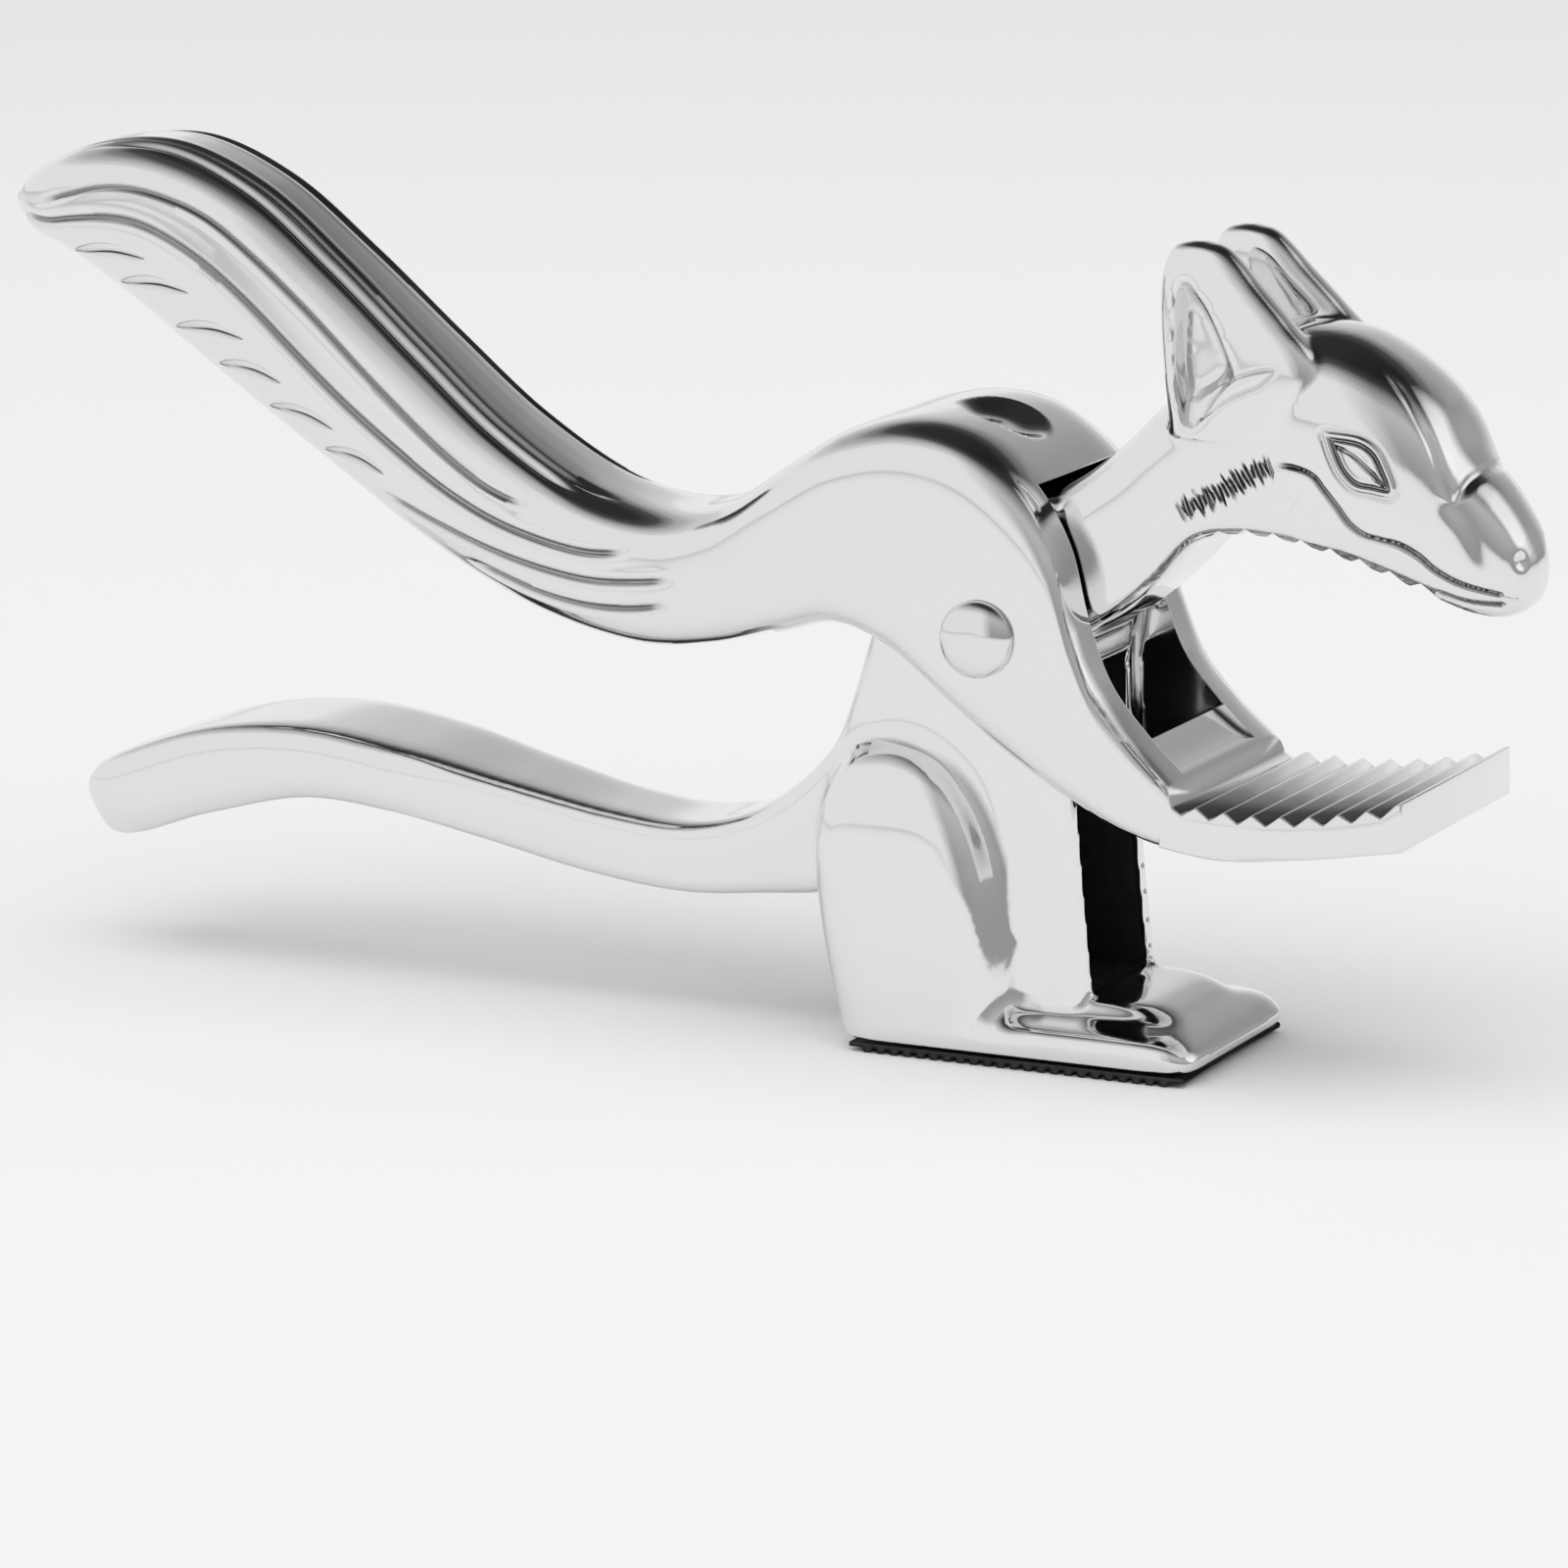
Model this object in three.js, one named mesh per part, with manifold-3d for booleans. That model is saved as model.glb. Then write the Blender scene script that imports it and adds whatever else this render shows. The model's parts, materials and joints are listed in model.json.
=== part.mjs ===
// Lever nutcracker in the shape of a squirrel, in millimetres. +X is the way the squirrel looks, +Z is up,
// and the origin is the centre of the foot pad's underside. The tail and the paws are one lever on a rivet.
import * as THREE from "three";
import { ParametricGeometry } from "three/addons/geometries/ParametricGeometry.js";
import { mergeVertices } from "three/addons/utils/BufferGeometryUtils.js";
import Module from "manifold-3d";

const PIVOT_X = -3.5; // rivet axis
const PIVOT_Z = 44.8;
const TORSO_HALF = 8.8; // half width of the torso between the lever's cheeks
const BOSS_HALF = 9.3; // bearing bosses beside the bore
const BOSS_R = 6.5;
const TORSO_TOP_R = 13.2; // the torso is round about the rivet
const CHEEK_IN = 9.6; // inner and outer faces of the lever's cheeks
const CHEEK_OUT = 15.2;
const RIVET_R = 2.5;
const RIVET_HEAD_R = 4;
const RIVET_HEAD_H = 2;
const RUNNING_GAP = 0.06; // radial clearance of the rivet in the torso
const LOOSE_GAP = 0.15; // between a fixed piece and its neighbour
const PAW_HALF = 15.4; // paw plate
const PAW_FRONT = 42.5;
const TOOTH_PITCH = 3.05;
const TOOTH_DEPTH = 1.1;
const PAW_TEETH = 8;
const JAW_TEETH = 8;
const FOOT_HALF = 14;
const FOOT_REAR = -19.5;
const FOOT_FRONT = 19.5;
const FOOT_BOTTOM = 1.3;
const PAD_REACH = 18.6; // pad, each way from the middle
const PAD_HALF = 13.4;
const PAD_TOP = 1.0;
const RIB_PITCH = 1.5;
const RIB_DEPTH = 0.5;
const RIBS_EACH_WAY = 11; // besides the middle one
const WALL = 2.2; // wall of the two cored handles
const CORE_DEPTH = 3.2; // metal left over the tail's core

const wasm = await Module();
wasm.setup();

// A three.js geometry as a solid, its seams merged and its collapsed end faces dropped.
function solid(geometry) {
  const bare = geometry.clone();
  bare.deleteAttribute("normal");
  bare.deleteAttribute("uv");
  const merged = mergeVertices(bare, 1e-4);
  const source = merged.index.array;
  const kept = [];
  for (let i = 0; i < source.length; i += 3) {
    const [a, b, c] = [source[i], source[i + 1], source[i + 2]];
    if (a !== b && b !== c && c !== a) {
      kept.push(a, b, c);
    }
  }
  const body = new wasm.Manifold(
    new wasm.Mesh({
      numProp: 3,
      vertProperties: new Float32Array(merged.attributes.position.array),
      triVerts: new Uint32Array(kept),
    }),
  );
  return body;
}

function points(pairs) {
  return pairs.map(([x, z]) => new THREE.Vector2(x, z));
}

// A closed outline in the side view: a smooth curve through each run, runs joined by straight lines.
function outline(...runs) {
  const shape = new THREE.Shape();
  runs.forEach((run, i) => {
    const [first, ...rest] = points(run);
    if (i === 0) {
      shape.moveTo(first.x, first.y);
    } else {
      shape.lineTo(first.x, first.y);
    }
    if (rest.length > 1) {
      shape.splineThru(rest);
    } else if (rest.length === 1) {
      shape.lineTo(rest[0].x, rest[0].y);
    }
  });
  return shape;
}

// An outline in the side view made as wide as from y0 to y1.
function sideways(shape, y0, y1) {
  const geometry = new THREE.ExtrudeGeometry(shape, { depth: y1 - y0, bevelEnabled: false, curveSegments: 3 });
  geometry.rotateX(Math.PI / 2);
  geometry.translate(0, y1, 0);
  return solid(geometry);
}

function power(value, exponent) {
  return Math.abs(value) < 1e-9 ? 0 : Math.sign(value) * Math.abs(value) ** exponent;
}

// A body over sections across the object. Each is [top x, top z, bottom x, bottom z, half width, squareness],
// with top and bottom seen along the body: an upright body is listed downwards, its front as the top.
function loft(sections, around, along, centreY = 0) {
  const tops = new THREE.CatmullRomCurve3(sections.map((s) => new THREE.Vector3(s[0], s[1], s[4])));
  const feet = new THREE.CatmullRomCurve3(sections.map((s) => new THREE.Vector3(s[2], s[3], s[5])));
  const stacks = along + 2;
  const skin = new ParametricGeometry(
    (u, v, target) => {
      const step = Math.round(v * stacks);
      const t = Math.min(Math.max((step - 1) / along, 0), 1);
      const size = step === 0 || step === stacks ? 0 : 1;
      const top = tops.getPoint(t);
      const foot = feet.getPoint(t);
      const exponent = 2 / foot.z;
      const angle = u * 2 * Math.PI;
      const across = power(Math.cos(angle), exponent) * size;
      const upward = power(Math.sin(angle), exponent) * size;
      const x = (top.x + foot.x + (top.x - foot.x) * upward) / 2;
      const z = (top.y + foot.y + (top.y - foot.y) * upward) / 2;
      target.set(x, centreY + top.z * across, z);
    },
    around,
    stacks,
  );
  return solid(skin);
}

// A round bar across the object, about the rivet's axis unless moved.
function crossbar(radius, half, x = PIVOT_X, z = PIVOT_Z) {
  const bar = new THREE.CylinderGeometry(radius, radius, 2 * half, 32);
  return solid(bar.translate(x, 0, z));
}

function box(x0, x1, y0, y1, z0, z1) {
  const block = new THREE.BoxGeometry(x1 - x0, y1 - y0, z1 - z0);
  return solid(block.translate((x0 + x1) / 2, (y0 + y1) / 2, (z0 + z1) / 2));
}

function join(...bodies) {
  return bodies.reduce((sum, body) => sum.add(body));
}

// A V-shaped groove that follows a side-view curve on one flank, at depth below that flank's face.
function groove(path, y, radius) {
  const spine = new THREE.CatmullRomCurve3(path.map(([x, z]) => new THREE.Vector3(x, y, z)));
  const section = new THREE.Shape();
  section.moveTo(radius, 0);
  section.lineTo(0, radius);
  section.lineTo(-radius, 0);
  section.lineTo(0, -radius);
  section.closePath();
  return solid(new THREE.ExtrudeGeometry(section, { steps: path.length * 2, extrudePath: spine }));
}

// ---------------------------------------------------------------- lever: tail, cheeks and paws in one casting

const TAIL = [
  [-124.2, 80.8, -123.6, 79.0, 0.8, 2.4],
  [-120.2, 84.0, -119.8, 77.0, 4.4, 2.8],
  [-112.4, 87.4, -114.4, 75.4, 7.8, 3.4],
  [-102.4, 88.2, -107.4, 71.6, 9.2, 3.8],
  [-92.2, 84.4, -99.4, 66.0, 9.4, 3.8],
  [-82.2, 77.0, -90.8, 60.2, 9.4, 3.8],
  [-72.2, 68.6, -81.2, 54.0, 9.4, 3.8],
  [-62.2, 60.6, -70.6, 47.4, 9.4, 3.8],
  [-52.0, 55.0, -57.9, 41.4, 9.4, 3.8],
  [-43.0, 53.4, -45.5, 38.8, 9.8, 4.0],
  [-35.0, 55.4, -36.0, 39.8, 11.8, 4.4],
];
const BACK_AND_CHEEKS = [
  [-27.4, 60.0, -28.0, 42.2, 14.2, 5.4],
  [-20.0, 64.4, -21.0, 44.0, 15.1, 6.0],
  [-12.4, 66.2, -14.8, 42.1, CHEEK_OUT, 6.6],
  [-6.0, 65.0, -7.8, 37.0, CHEEK_OUT, 7.0],
  [0.0, 60.8, -1.8, 32.6, CHEEK_OUT, 7.0],
  [4.2, 54.4, 3.8, 29.4, CHEEK_OUT, 8.0],
  [6.4, 46.6, 8.2, 27.3, CHEEK_OUT, 8.0],
  [9.0, 40.2, 12.0, 25.8, CHEEK_OUT, 8.0],
  [12.8, 35.6, 15.8, 24.8, CHEEK_OUT, 8.0],
  [17.2, 31.4, 19.6, 24.3, CHEEK_OUT, 8.0],
];
const LEVER = [...TAIL, ...BACK_AND_CHEEKS];

// The slot between the cheeks clears the torso over the lever's whole swing.
const slotSide = outline(
  [[-26, 34], [-22.6, 43.2]],
  [[-21.6, 47.2], [-19.2, 51.4], [-15, 55.8], [-9.5, 59], [-3.5, 60]],
  [[3, 60], [9, 62]],
  [[24, 62], [24, 40]],
  [[20, 31.5], [16, 32], [12.2, 34.4]],
  [[10.4, 33.4], [9, 24]],
);

// Height of the paw plate's tooth tips: a shallow hollow, deepest near the rear.
function pawTop(x) {
  return 29.5 + 0.0088 * (x - 25) ** 2;
}
const pawSide = new THREE.Shape();
pawSide.moveTo(16.5, 25.2);
pawSide.splineThru(points([[22.6, 24.5], [31, 25.3], [PAW_FRONT + 0.1, 27.2]]));
pawSide.lineTo(PAW_FRONT, pawTop(PAW_FRONT));
for (let i = 0; i < PAW_TEETH; i += 1) {
  const tip = PAW_FRONT - 0.7 - i * TOOTH_PITCH;
  const dip = tip - TOOTH_PITCH / 2;
  pawSide.lineTo(tip, pawTop(tip));
  pawSide.lineTo(dip, pawTop(dip) - TOOTH_DEPTH);
}
pawSide.lineTo(16.5, 30.4);
const paws = sideways(pawSide, -PAW_HALF, PAW_HALF);

// The tail is cored from below, which leaves a thin shell and a solid rim.
const tailCore = loft(
  LEVER.slice(2, 12).map(([topX, topZ, footX, footZ, half, square]) => {
    const reach = Math.hypot(topX - footX, topZ - footZ);
    const [ux, uz] = [(topX - footX) / reach, (topZ - footZ) / reach];
    return [topX - ux * CORE_DEPTH, topZ - uz * CORE_DEPTH, footX - ux * 4, footZ - uz * 4, half - WALL, square];
  }),
  16,
  14,
);

const FLANK_LINES = [
  [[-115, 83.2], [-106, 84.0], [-96, 80.2], [-84, 71.2], [-72, 61.4], [-61, 52.9], [-54, 49.4]],
  [[-116, 80.4], [-106, 80.2], [-95, 75.2], [-84, 66.2], [-72, 56.2], [-61, 48.8], [-52, 46.0], [-42, 46.4]],
  [[-74, 54.0], [-66, 48.9], [-58, 44.6], [-50, 43.0], [-40, 43.4]],
];
const FEATHERS = 6;
const grooves = [];
for (const side of [-1, 1]) {
  for (const line of FLANK_LINES) {
    grooves.push(groove(line, side * 9.5, 0.5));
  }
  for (let i = 0; i < FEATHERS; i += 1) {
    const x = -111.6 + i * 7.2;
    const z = 76.6 - i * 5.15;
    grooves.push(groove([[x, z], [x + 3, z - 0.2], [x + 6, z - 1.4]], side * 9.3, 0.6));
  }
}

// Thumb hollow in the back.
const hollow = new THREE.SphereGeometry(1, 24, 12);
hollow.scale(4.6, 5.0, 2.2);
hollow.translate(-7.6, 0, 66.2);

const lever = loft(LEVER, 28, 50)
  .subtract(sideways(slotSide, -CHEEK_IN, CHEEK_IN))
  .add(paws)
  .subtract(tailCore)
  .subtract(join(...grooves))
  .subtract(solid(hollow))
  .subtract(crossbar(RIVET_R + LOOSE_GAP, CHEEK_OUT + 1));

// ------------------------------------------- body: head, torso, haunches, foot and lower handle in one casting

const NECK_AND_HEAD = [
  [-6.0, 55.5, 1.0, 42.0, 8.6, 3.4],
  [1.4, 59.2, 7.2, 45.6, 9.0, 3.2],
  [7.2, 63.4, 12.6, 50.2, 9.2, 3.0],
  [12.2, 68.4, 17.0, 54.8, 9.3, 2.8],
  [18.2, 73.4, 21.4, 56.0, 9.7, 2.8],
  [24.6, 76.8, 26.5, 55.8, 10.0, 2.8],
  [31.0, 76.8, 32.0, 54.8, 10.2, 2.8],
  [36.8, 74.2, 37.8, 53.0, 9.8, 2.8],
  [41.4, 70.2, 42.4, 50.8, 8.6, 2.8],
  [44.6, 64.6, 45.6, 49.6, 7.2, 2.7],
  [47.4, 61.6, 48.2, 49.4, 5.8, 2.6],
  [50.0, 57.6, 50.4, 50.4, 4.2, 2.4],
  [51.4, 54.8, 51.3, 52.2, 1.6, 2.2],
];
const EAR_Y = 7.6;
const EAR = [
  [17.2, 85.6, 15.6, 85.6, 0.9, 2.4],
  [20.4, 84.4, 13.7, 84.6, 1.9, 2.6],
  [23.0, 81.8, 13.2, 82.0, 2.2, 2.8],
  [26.8, 78.0, 13.3, 78.4, 2.3, 3.0],
  [30.2, 73.6, 13.7, 73.6, 2.3, 3.0],
  [28.6, 66.0, 14.8, 66.0, 2.3, 3.0],
];
const earHollow = outline([[16.2, 68.4], [15.3, 76], [15.4, 82.4]], [[18, 79.6], [21.4, 73.4]], [[19.6, 70.8], [17, 67.6]]);
const ears = [-1, 1].map((side) => {
  const y = side * 9.9;
  return loft(EAR, 18, 12, side * EAR_Y).subtract(sideways(earHollow, y - 1.8, y + 1.8));
});

const TORSO = [
  [5.0, 50.0, -12.0, 50.0, TORSO_HALF, 8],
  [4.4, 44.0, -18.0, 44.0, TORSO_HALF, 8],
  [4.0, 39.0, -18.6, 39.0, TORSO_HALF, 8],
  [4.4, 33.0, -18.6, 33.0, 9.0, 8],
  [5.0, 26.0, -18.6, 26.0, 9.3, 8],
  [6.0, 18.0, -20.0, 18.0, 9.8, 8],
  [6.7, 11.6, -20.0, 11.6, 10.3, 8],
  [7.8, 7.8, -20.0, 7.8, 11.0, 8],
  [9.4, 5.8, -19.0, 5.8, 12.5, 8],
  [9.4, 3.0, -19.0, 3.0, 12.5, 8],
];
const HAUNCHES = [
  [-13.4, 32.4, -18.0, 32.4, 8.6, 3],
  [-11.4, 31.5, -19.8, 31.5, 10.4, 4],
  [-8.2, 29.0, -21.8, 29.0, 11.6, 5],
  [-5.4, 24.6, -23.6, 24.6, 12.3, 6],
  [-3.6, 19.6, -24.0, 19.6, 12.9, 6],
  [-2.4, 13.6, -23.2, 13.6, 13.3, 6],
  [-1.4, 7.0, -21.8, 7.0, 13.7, 7],
  [-1.2, 1.6, -20.2, 1.6, 13.9, 7],
];
const FOOT = [
  [9.0, 6.7, -18.4, 6.7, 13.4, 14],
  [15.2, 6.0, -19.4, 6.0, 13.8, 14],
  [18.2, 4.4, -19.6, 4.4, 14.0, 14],
  [FOOT_FRONT, 2.4, FOOT_REAR, 2.4, FOOT_HALF, 14],
  [FOOT_FRONT - 0.3, FOOT_BOTTOM, FOOT_REAR, FOOT_BOTTOM, FOOT_HALF - 0.2, 14],
];

// The lower handle springs from the torso's back.
const HANDLE = [
  [-112.4, 19.2, -111.6, 16.0, 7.8, 4],
  [-110.4, 21.0, -108.4, 13.0, 9.2, 6],
  [-98.4, 25.7, -97.0, 16.2, 9.4, 7],
  [-86.0, 27.2, -85.0, 19.1, 9.4, 7],
  [-74.0, 25.8, -75.0, 18.6, 9.2, 7],
  [-62.0, 23.2, -64.0, 16.4, 8.0, 7],
  [-50.0, 20.9, -52.0, 13.8, 7.0, 7],
  [-41.0, 20.4, -41.0, 12.8, 7.0, 7],
  [-33.4, 22.4, -32.0, 13.6, 7.4, 7],
  [-27.4, 26.4, -23.0, 15.0, 8.0, 7],
  [-23.2, 31.0, -15.0, 20.0, 8.6, 7],
  [-21.0, 36.4, -11.0, 30.0, 8.7, 7],
  [-19.2, 42.0, -9.0, 40.0, TORSO_HALF, 7],
  [-17.0, 47.0, -9.0, 46.0, TORSO_HALF, 7],
];
const handleCore = loft(
  HANDLE.slice(1, 10).map(([topX, topZ, footX, footZ, half, square]) => [
    topX,
    topZ - WALL,
    footX,
    footZ - 4,
    half - WALL,
    square,
  ]),
  16,
  12,
).subtract(box(-24, 0, -20, 20, 0, 60));

// The chest is cored from the front.
const chestSide = outline([[12, 6.9], [-11, 7.4]], [[-12, 28], [-6, 36]], [[0, 40.4], [12, 40.4]]);

// Upper jaw: teeth across the head's underside, on the same pitch as the paws.
const jawCuts = [];
for (let i = 0; i < JAW_TEETH; i += 1) {
  const x = 19.6 + i * TOOTH_PITCH;
  const z = 56.0 - 0.0075 * (x - 20) ** 2;
  const cut = outline(
    [[x, z - 3], [x + TOOTH_PITCH, z - 3]],
    [[x + TOOTH_PITCH, z - 0.6], [x + TOOTH_PITCH / 2, z + 0.5]],
    [[x, z - 0.6]],
  );
  jawCuts.push(sideways(cut, -12, 12));
}

const eyeSide = outline([[31.4, 67.4], [35.4, 67.6], [38.2, 65], [39, 61.8]], [[36, 61.6], [33.2, 63.4], [31.8, 66.2]]);
const eyes = [-1, 1].map((side) => sideways(eyeSide, side * 10.5 - 1.5, side * 10.5 + 1.5));
const nostrils = [-1, 1].map((side) => crossbar(0.6, 1.2, 50, 55.6).translate([0, side * 3.6, 0]));

const body = join(
  loft(NECK_AND_HEAD, 26, 28),
  ...ears,
  loft(TORSO, 20, 14),
  crossbar(TORSO_TOP_R, TORSO_HALF).intersect(box(-30, 2, -20, 20, 40, 70)),
  loft(HAUNCHES, 28, 14),
  loft(FOOT, 36, 6),
  loft(HANDLE, 24, 30),
)
  .subtract(handleCore)
  .add(crossbar(BOSS_R, BOSS_HALF))
  .subtract(sideways(chestSide, -6.6, 6.6))
  .subtract(crossbar(RIVET_R + RUNNING_GAP, BOSS_HALF + 3))
  .subtract(join(...jawCuts))
  .subtract(join(...eyes))
  .subtract(join(...nostrils));

// ---------------------------------------------------------------- rivet and foot pad

const headBase = CHEEK_OUT + LOOSE_GAP;
const domeRadius = (RIVET_HEAD_R ** 2 + RIVET_HEAD_H ** 2) / (2 * RIVET_HEAD_H);
const rivetProfile = [new THREE.Vector2(0, -headBase - RIVET_HEAD_H)];
const DOME_STEPS = 5;
const domeAngle = Math.asin(RIVET_HEAD_R / domeRadius);
for (let i = 1; i <= DOME_STEPS; i += 1) {
  const a = (domeAngle * i) / DOME_STEPS;
  rivetProfile.push(new THREE.Vector2(domeRadius * Math.sin(a), -headBase - RIVET_HEAD_H + domeRadius * (1 - Math.cos(a))));
}
rivetProfile.push(new THREE.Vector2(RIVET_R, -headBase));
const mirrored = rivetProfile.map((p) => new THREE.Vector2(p.x, -p.y)).reverse();
const rivetGeometry = new THREE.LatheGeometry([...rivetProfile, ...mirrored], 32);
rivetGeometry.translate(PIVOT_X, 0, PIVOT_Z);
const rivet = solid(rivetGeometry);

const padShape = new THREE.Shape();
padShape.moveTo(-PAD_REACH, PAD_TOP);
padShape.lineTo(-PAD_REACH, RIB_DEPTH);
for (let i = -RIBS_EACH_WAY; i <= RIBS_EACH_WAY; i += 1) {
  const x = i * RIB_PITCH;
  padShape.lineTo(x - 0.5, RIB_DEPTH);
  padShape.lineTo(x - 0.35, 0);
  padShape.lineTo(x + 0.35, 0);
  padShape.lineTo(x + 0.5, RIB_DEPTH);
}
padShape.lineTo(PAD_REACH, RIB_DEPTH);
padShape.lineTo(PAD_REACH, PAD_TOP);
const pad = sideways(padShape, -PAD_HALF, PAD_HALF);

// ---------------------------------------------------------------- assembly

const CHROME = { color: 0xe4e6e8, roughness: 0.08, metalness: 1 };
const RUBBER = { color: 0x17181a, roughness: 0.75, metalness: 0 };

const group = new THREE.Group();
function addPiece(name, piece, look) {
  const { vertProperties, triVerts } = piece.getMesh();
  const geometry = new THREE.BufferGeometry();
  geometry.setAttribute("position", new THREE.BufferAttribute(vertProperties, 3));
  geometry.setIndex(new THREE.BufferAttribute(triVerts, 1));
  geometry.computeVertexNormals();
  const mesh = new THREE.Mesh(geometry, new THREE.MeshStandardMaterial(look));
  mesh.name = name;
  group.add(mesh);
}
addPiece("body_casting", body, CHROME);
addPiece("tail_lever_casting", lever, CHROME);
addPiece("pivot_rivet", rivet, { ...CHROME, roughness: 0.12 });
addPiece("foot_pad", pad, RUBBER);

export default group;
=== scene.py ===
"""A squirrel-shaped lever nutcracker in polished chrome, on a pale studio floor.

Shapes are worked out in the side view in millimetres, X forwards and Z up, and turned into metres as each
mesh is made. The section tables start from the castings' CAD sections, refined where the finer mesh can
follow the photograph more closely.
"""

import json
import math

import bpy
import bmesh
import numpy as np
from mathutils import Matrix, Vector


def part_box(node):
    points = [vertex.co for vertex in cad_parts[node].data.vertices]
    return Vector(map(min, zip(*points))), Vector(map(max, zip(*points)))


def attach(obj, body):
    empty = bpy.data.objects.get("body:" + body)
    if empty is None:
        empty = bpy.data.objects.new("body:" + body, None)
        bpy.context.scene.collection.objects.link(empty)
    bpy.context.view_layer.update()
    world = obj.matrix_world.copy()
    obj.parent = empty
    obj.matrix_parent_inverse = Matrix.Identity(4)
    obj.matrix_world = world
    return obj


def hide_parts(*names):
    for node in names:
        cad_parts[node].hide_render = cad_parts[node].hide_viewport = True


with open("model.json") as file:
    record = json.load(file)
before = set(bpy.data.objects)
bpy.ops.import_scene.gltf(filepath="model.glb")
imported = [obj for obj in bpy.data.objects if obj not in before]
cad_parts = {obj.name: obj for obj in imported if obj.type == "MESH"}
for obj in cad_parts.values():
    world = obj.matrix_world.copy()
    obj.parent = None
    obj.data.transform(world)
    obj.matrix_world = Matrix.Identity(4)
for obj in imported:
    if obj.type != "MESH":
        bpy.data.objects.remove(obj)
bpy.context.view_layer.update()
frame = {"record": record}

MM = 0.001
hinge = frame["record"]["behaviour"]["joints"][0]
PIVOT_X = hinge["pos_m"][0] / MM
PIVOT_Z = hinge["pos_m"][2] / MM
TORSO_HALF = 8.8
TORSO_TOP_R = 14.4
BOSS_HALF, BOSS_R = 9.3, 6.5
CHEEK_IN, CHEEK_OUT = 9.6, 15.2
BORE_IN_TORSO, BORE_IN_CHEEKS = 2.56, 2.65  # radii
SHANK_R = 2.5
PAW_HALF, PAW_FRONT = 15.4, 42.5
TOOTH_PITCH, TOOTH_DEPTH, TEETH = 3.05, 1.1, 8
WALL = 2.2  # wall of the two cored handles
CORE_DEPTH = 3.2  # metal left over the tail's core
CORE_REACH = 4  # how far a core passes its handle's underside
THROUGH = 20  # half width of a cutter that passes right through the body

# Each section: [top x, top z, bottom x, bottom z, half width, squareness], and a second squareness for the
# lower half where it differs.
TAIL = [
    [-122.9, 81.6, -122.0, 78.6, 2.2, 2.4],
    [-120.2, 84.0, -119.8, 77.0, 4.6, 2.8],
    [-112.4, 87.4, -114.4, 75.4, 7.8, 3.2],
    [-102.4, 88.2, -107.4, 71.6, 9.2, 3.3],
    [-92.2, 84.4, -99.4, 66.0, 9.4, 3.3],
    [-82.2, 77.0, -90.8, 60.2, 9.4, 3.3],
    [-72.2, 68.6, -81.2, 54.0, 9.4, 3.3],
    [-62.2, 60.6, -70.6, 47.4, 9.4, 3.4],
    [-52.0, 55.0, -57.9, 41.4, 9.4, 3.5],
    [-43.0, 53.4, -45.5, 38.8, 9.8, 3.8],
    [-35.0, 55.4, -36.0, 39.8, 11.8, 4.2],
]
BACK_AND_CHEEKS = [
    [-27.4, 60.0, -28.0, 42.2, 14.2, 5.0],
    [-20.0, 64.4, -21.0, 44.0, 15.1, 5.6],
    [-12.4, 66.2, -14.8, 42.1, CHEEK_OUT, 6.2],
    [-6.0, 65.0, -7.8, 37.0, CHEEK_OUT, 7.0],
    [0.0, 60.8, -1.8, 32.6, CHEEK_OUT, 7.0],
    [4.2, 54.4, 3.8, 29.4, CHEEK_OUT, 8.0],
    [6.4, 46.6, 8.2, 27.3, CHEEK_OUT, 8.0],
    [9.0, 40.2, 12.0, 25.8, CHEEK_OUT, 8.0],
    [12.8, 35.6, 15.8, 24.8, CHEEK_OUT, 8.0],
    [17.2, 31.4, 19.6, 24.3, CHEEK_OUT, 8.0],
]
LEVER = TAIL + BACK_AND_CHEEKS
NECK_AND_HEAD = [
    [-6.0, 58.2, 1.0, 42.0, 8.9, 5.0, 6.0],
    [1.4, 59.4, 7.2, 45.6, 9.0, 4.2, 6.0],
    [7.2, 63.4, 12.6, 50.2, 9.2, 3.4, 6.5],
    [12.2, 68.4, 17.0, 54.8, 9.4, 3.0, 7.0],
    [18.2, 73.4, 21.4, 56.0, 9.8, 2.8, 8.0],
    [24.6, 76.8, 26.5, 55.8, 10.0, 2.7, 8.0],
    [31.0, 76.8, 32.0, 54.8, 10.2, 2.7, 8.0],
    [36.8, 74.2, 37.8, 53.0, 9.8, 2.8, 7.0],
    [41.4, 70.2, 42.4, 50.8, 8.7, 3.0, 5.0],
    [44.6, 64.6, 45.6, 49.3, 7.3, 2.9, 3.6],
    [47.4, 61.6, 48.2, 49.0, 6.0, 2.7, 3.0],
    [50.0, 57.8, 50.4, 50.2, 4.4, 2.5, 2.6],
    [51.3, 54.8, 51.2, 52.2, 1.6, 2.2, 2.2],
]
EAR_Y = 7.6
EAR = [
    [18.0, 85.5, 16.4, 85.5, 0.9, 2.4],
    [20.0, 85.0, 14.7, 85.0, 1.7, 2.6],
    [21.4, 83.8, 13.9, 83.8, 2.1, 2.8],
    [23.4, 81.6, 13.4, 81.6, 2.4, 3.2],
    [26.8, 78.0, 13.3, 78.4, 2.6, 3.6],
    [30.2, 73.6, 13.6, 73.6, 2.7, 3.6],
    [28.6, 66.0, 14.6, 66.0, 2.7, 3.6],
]
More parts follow.
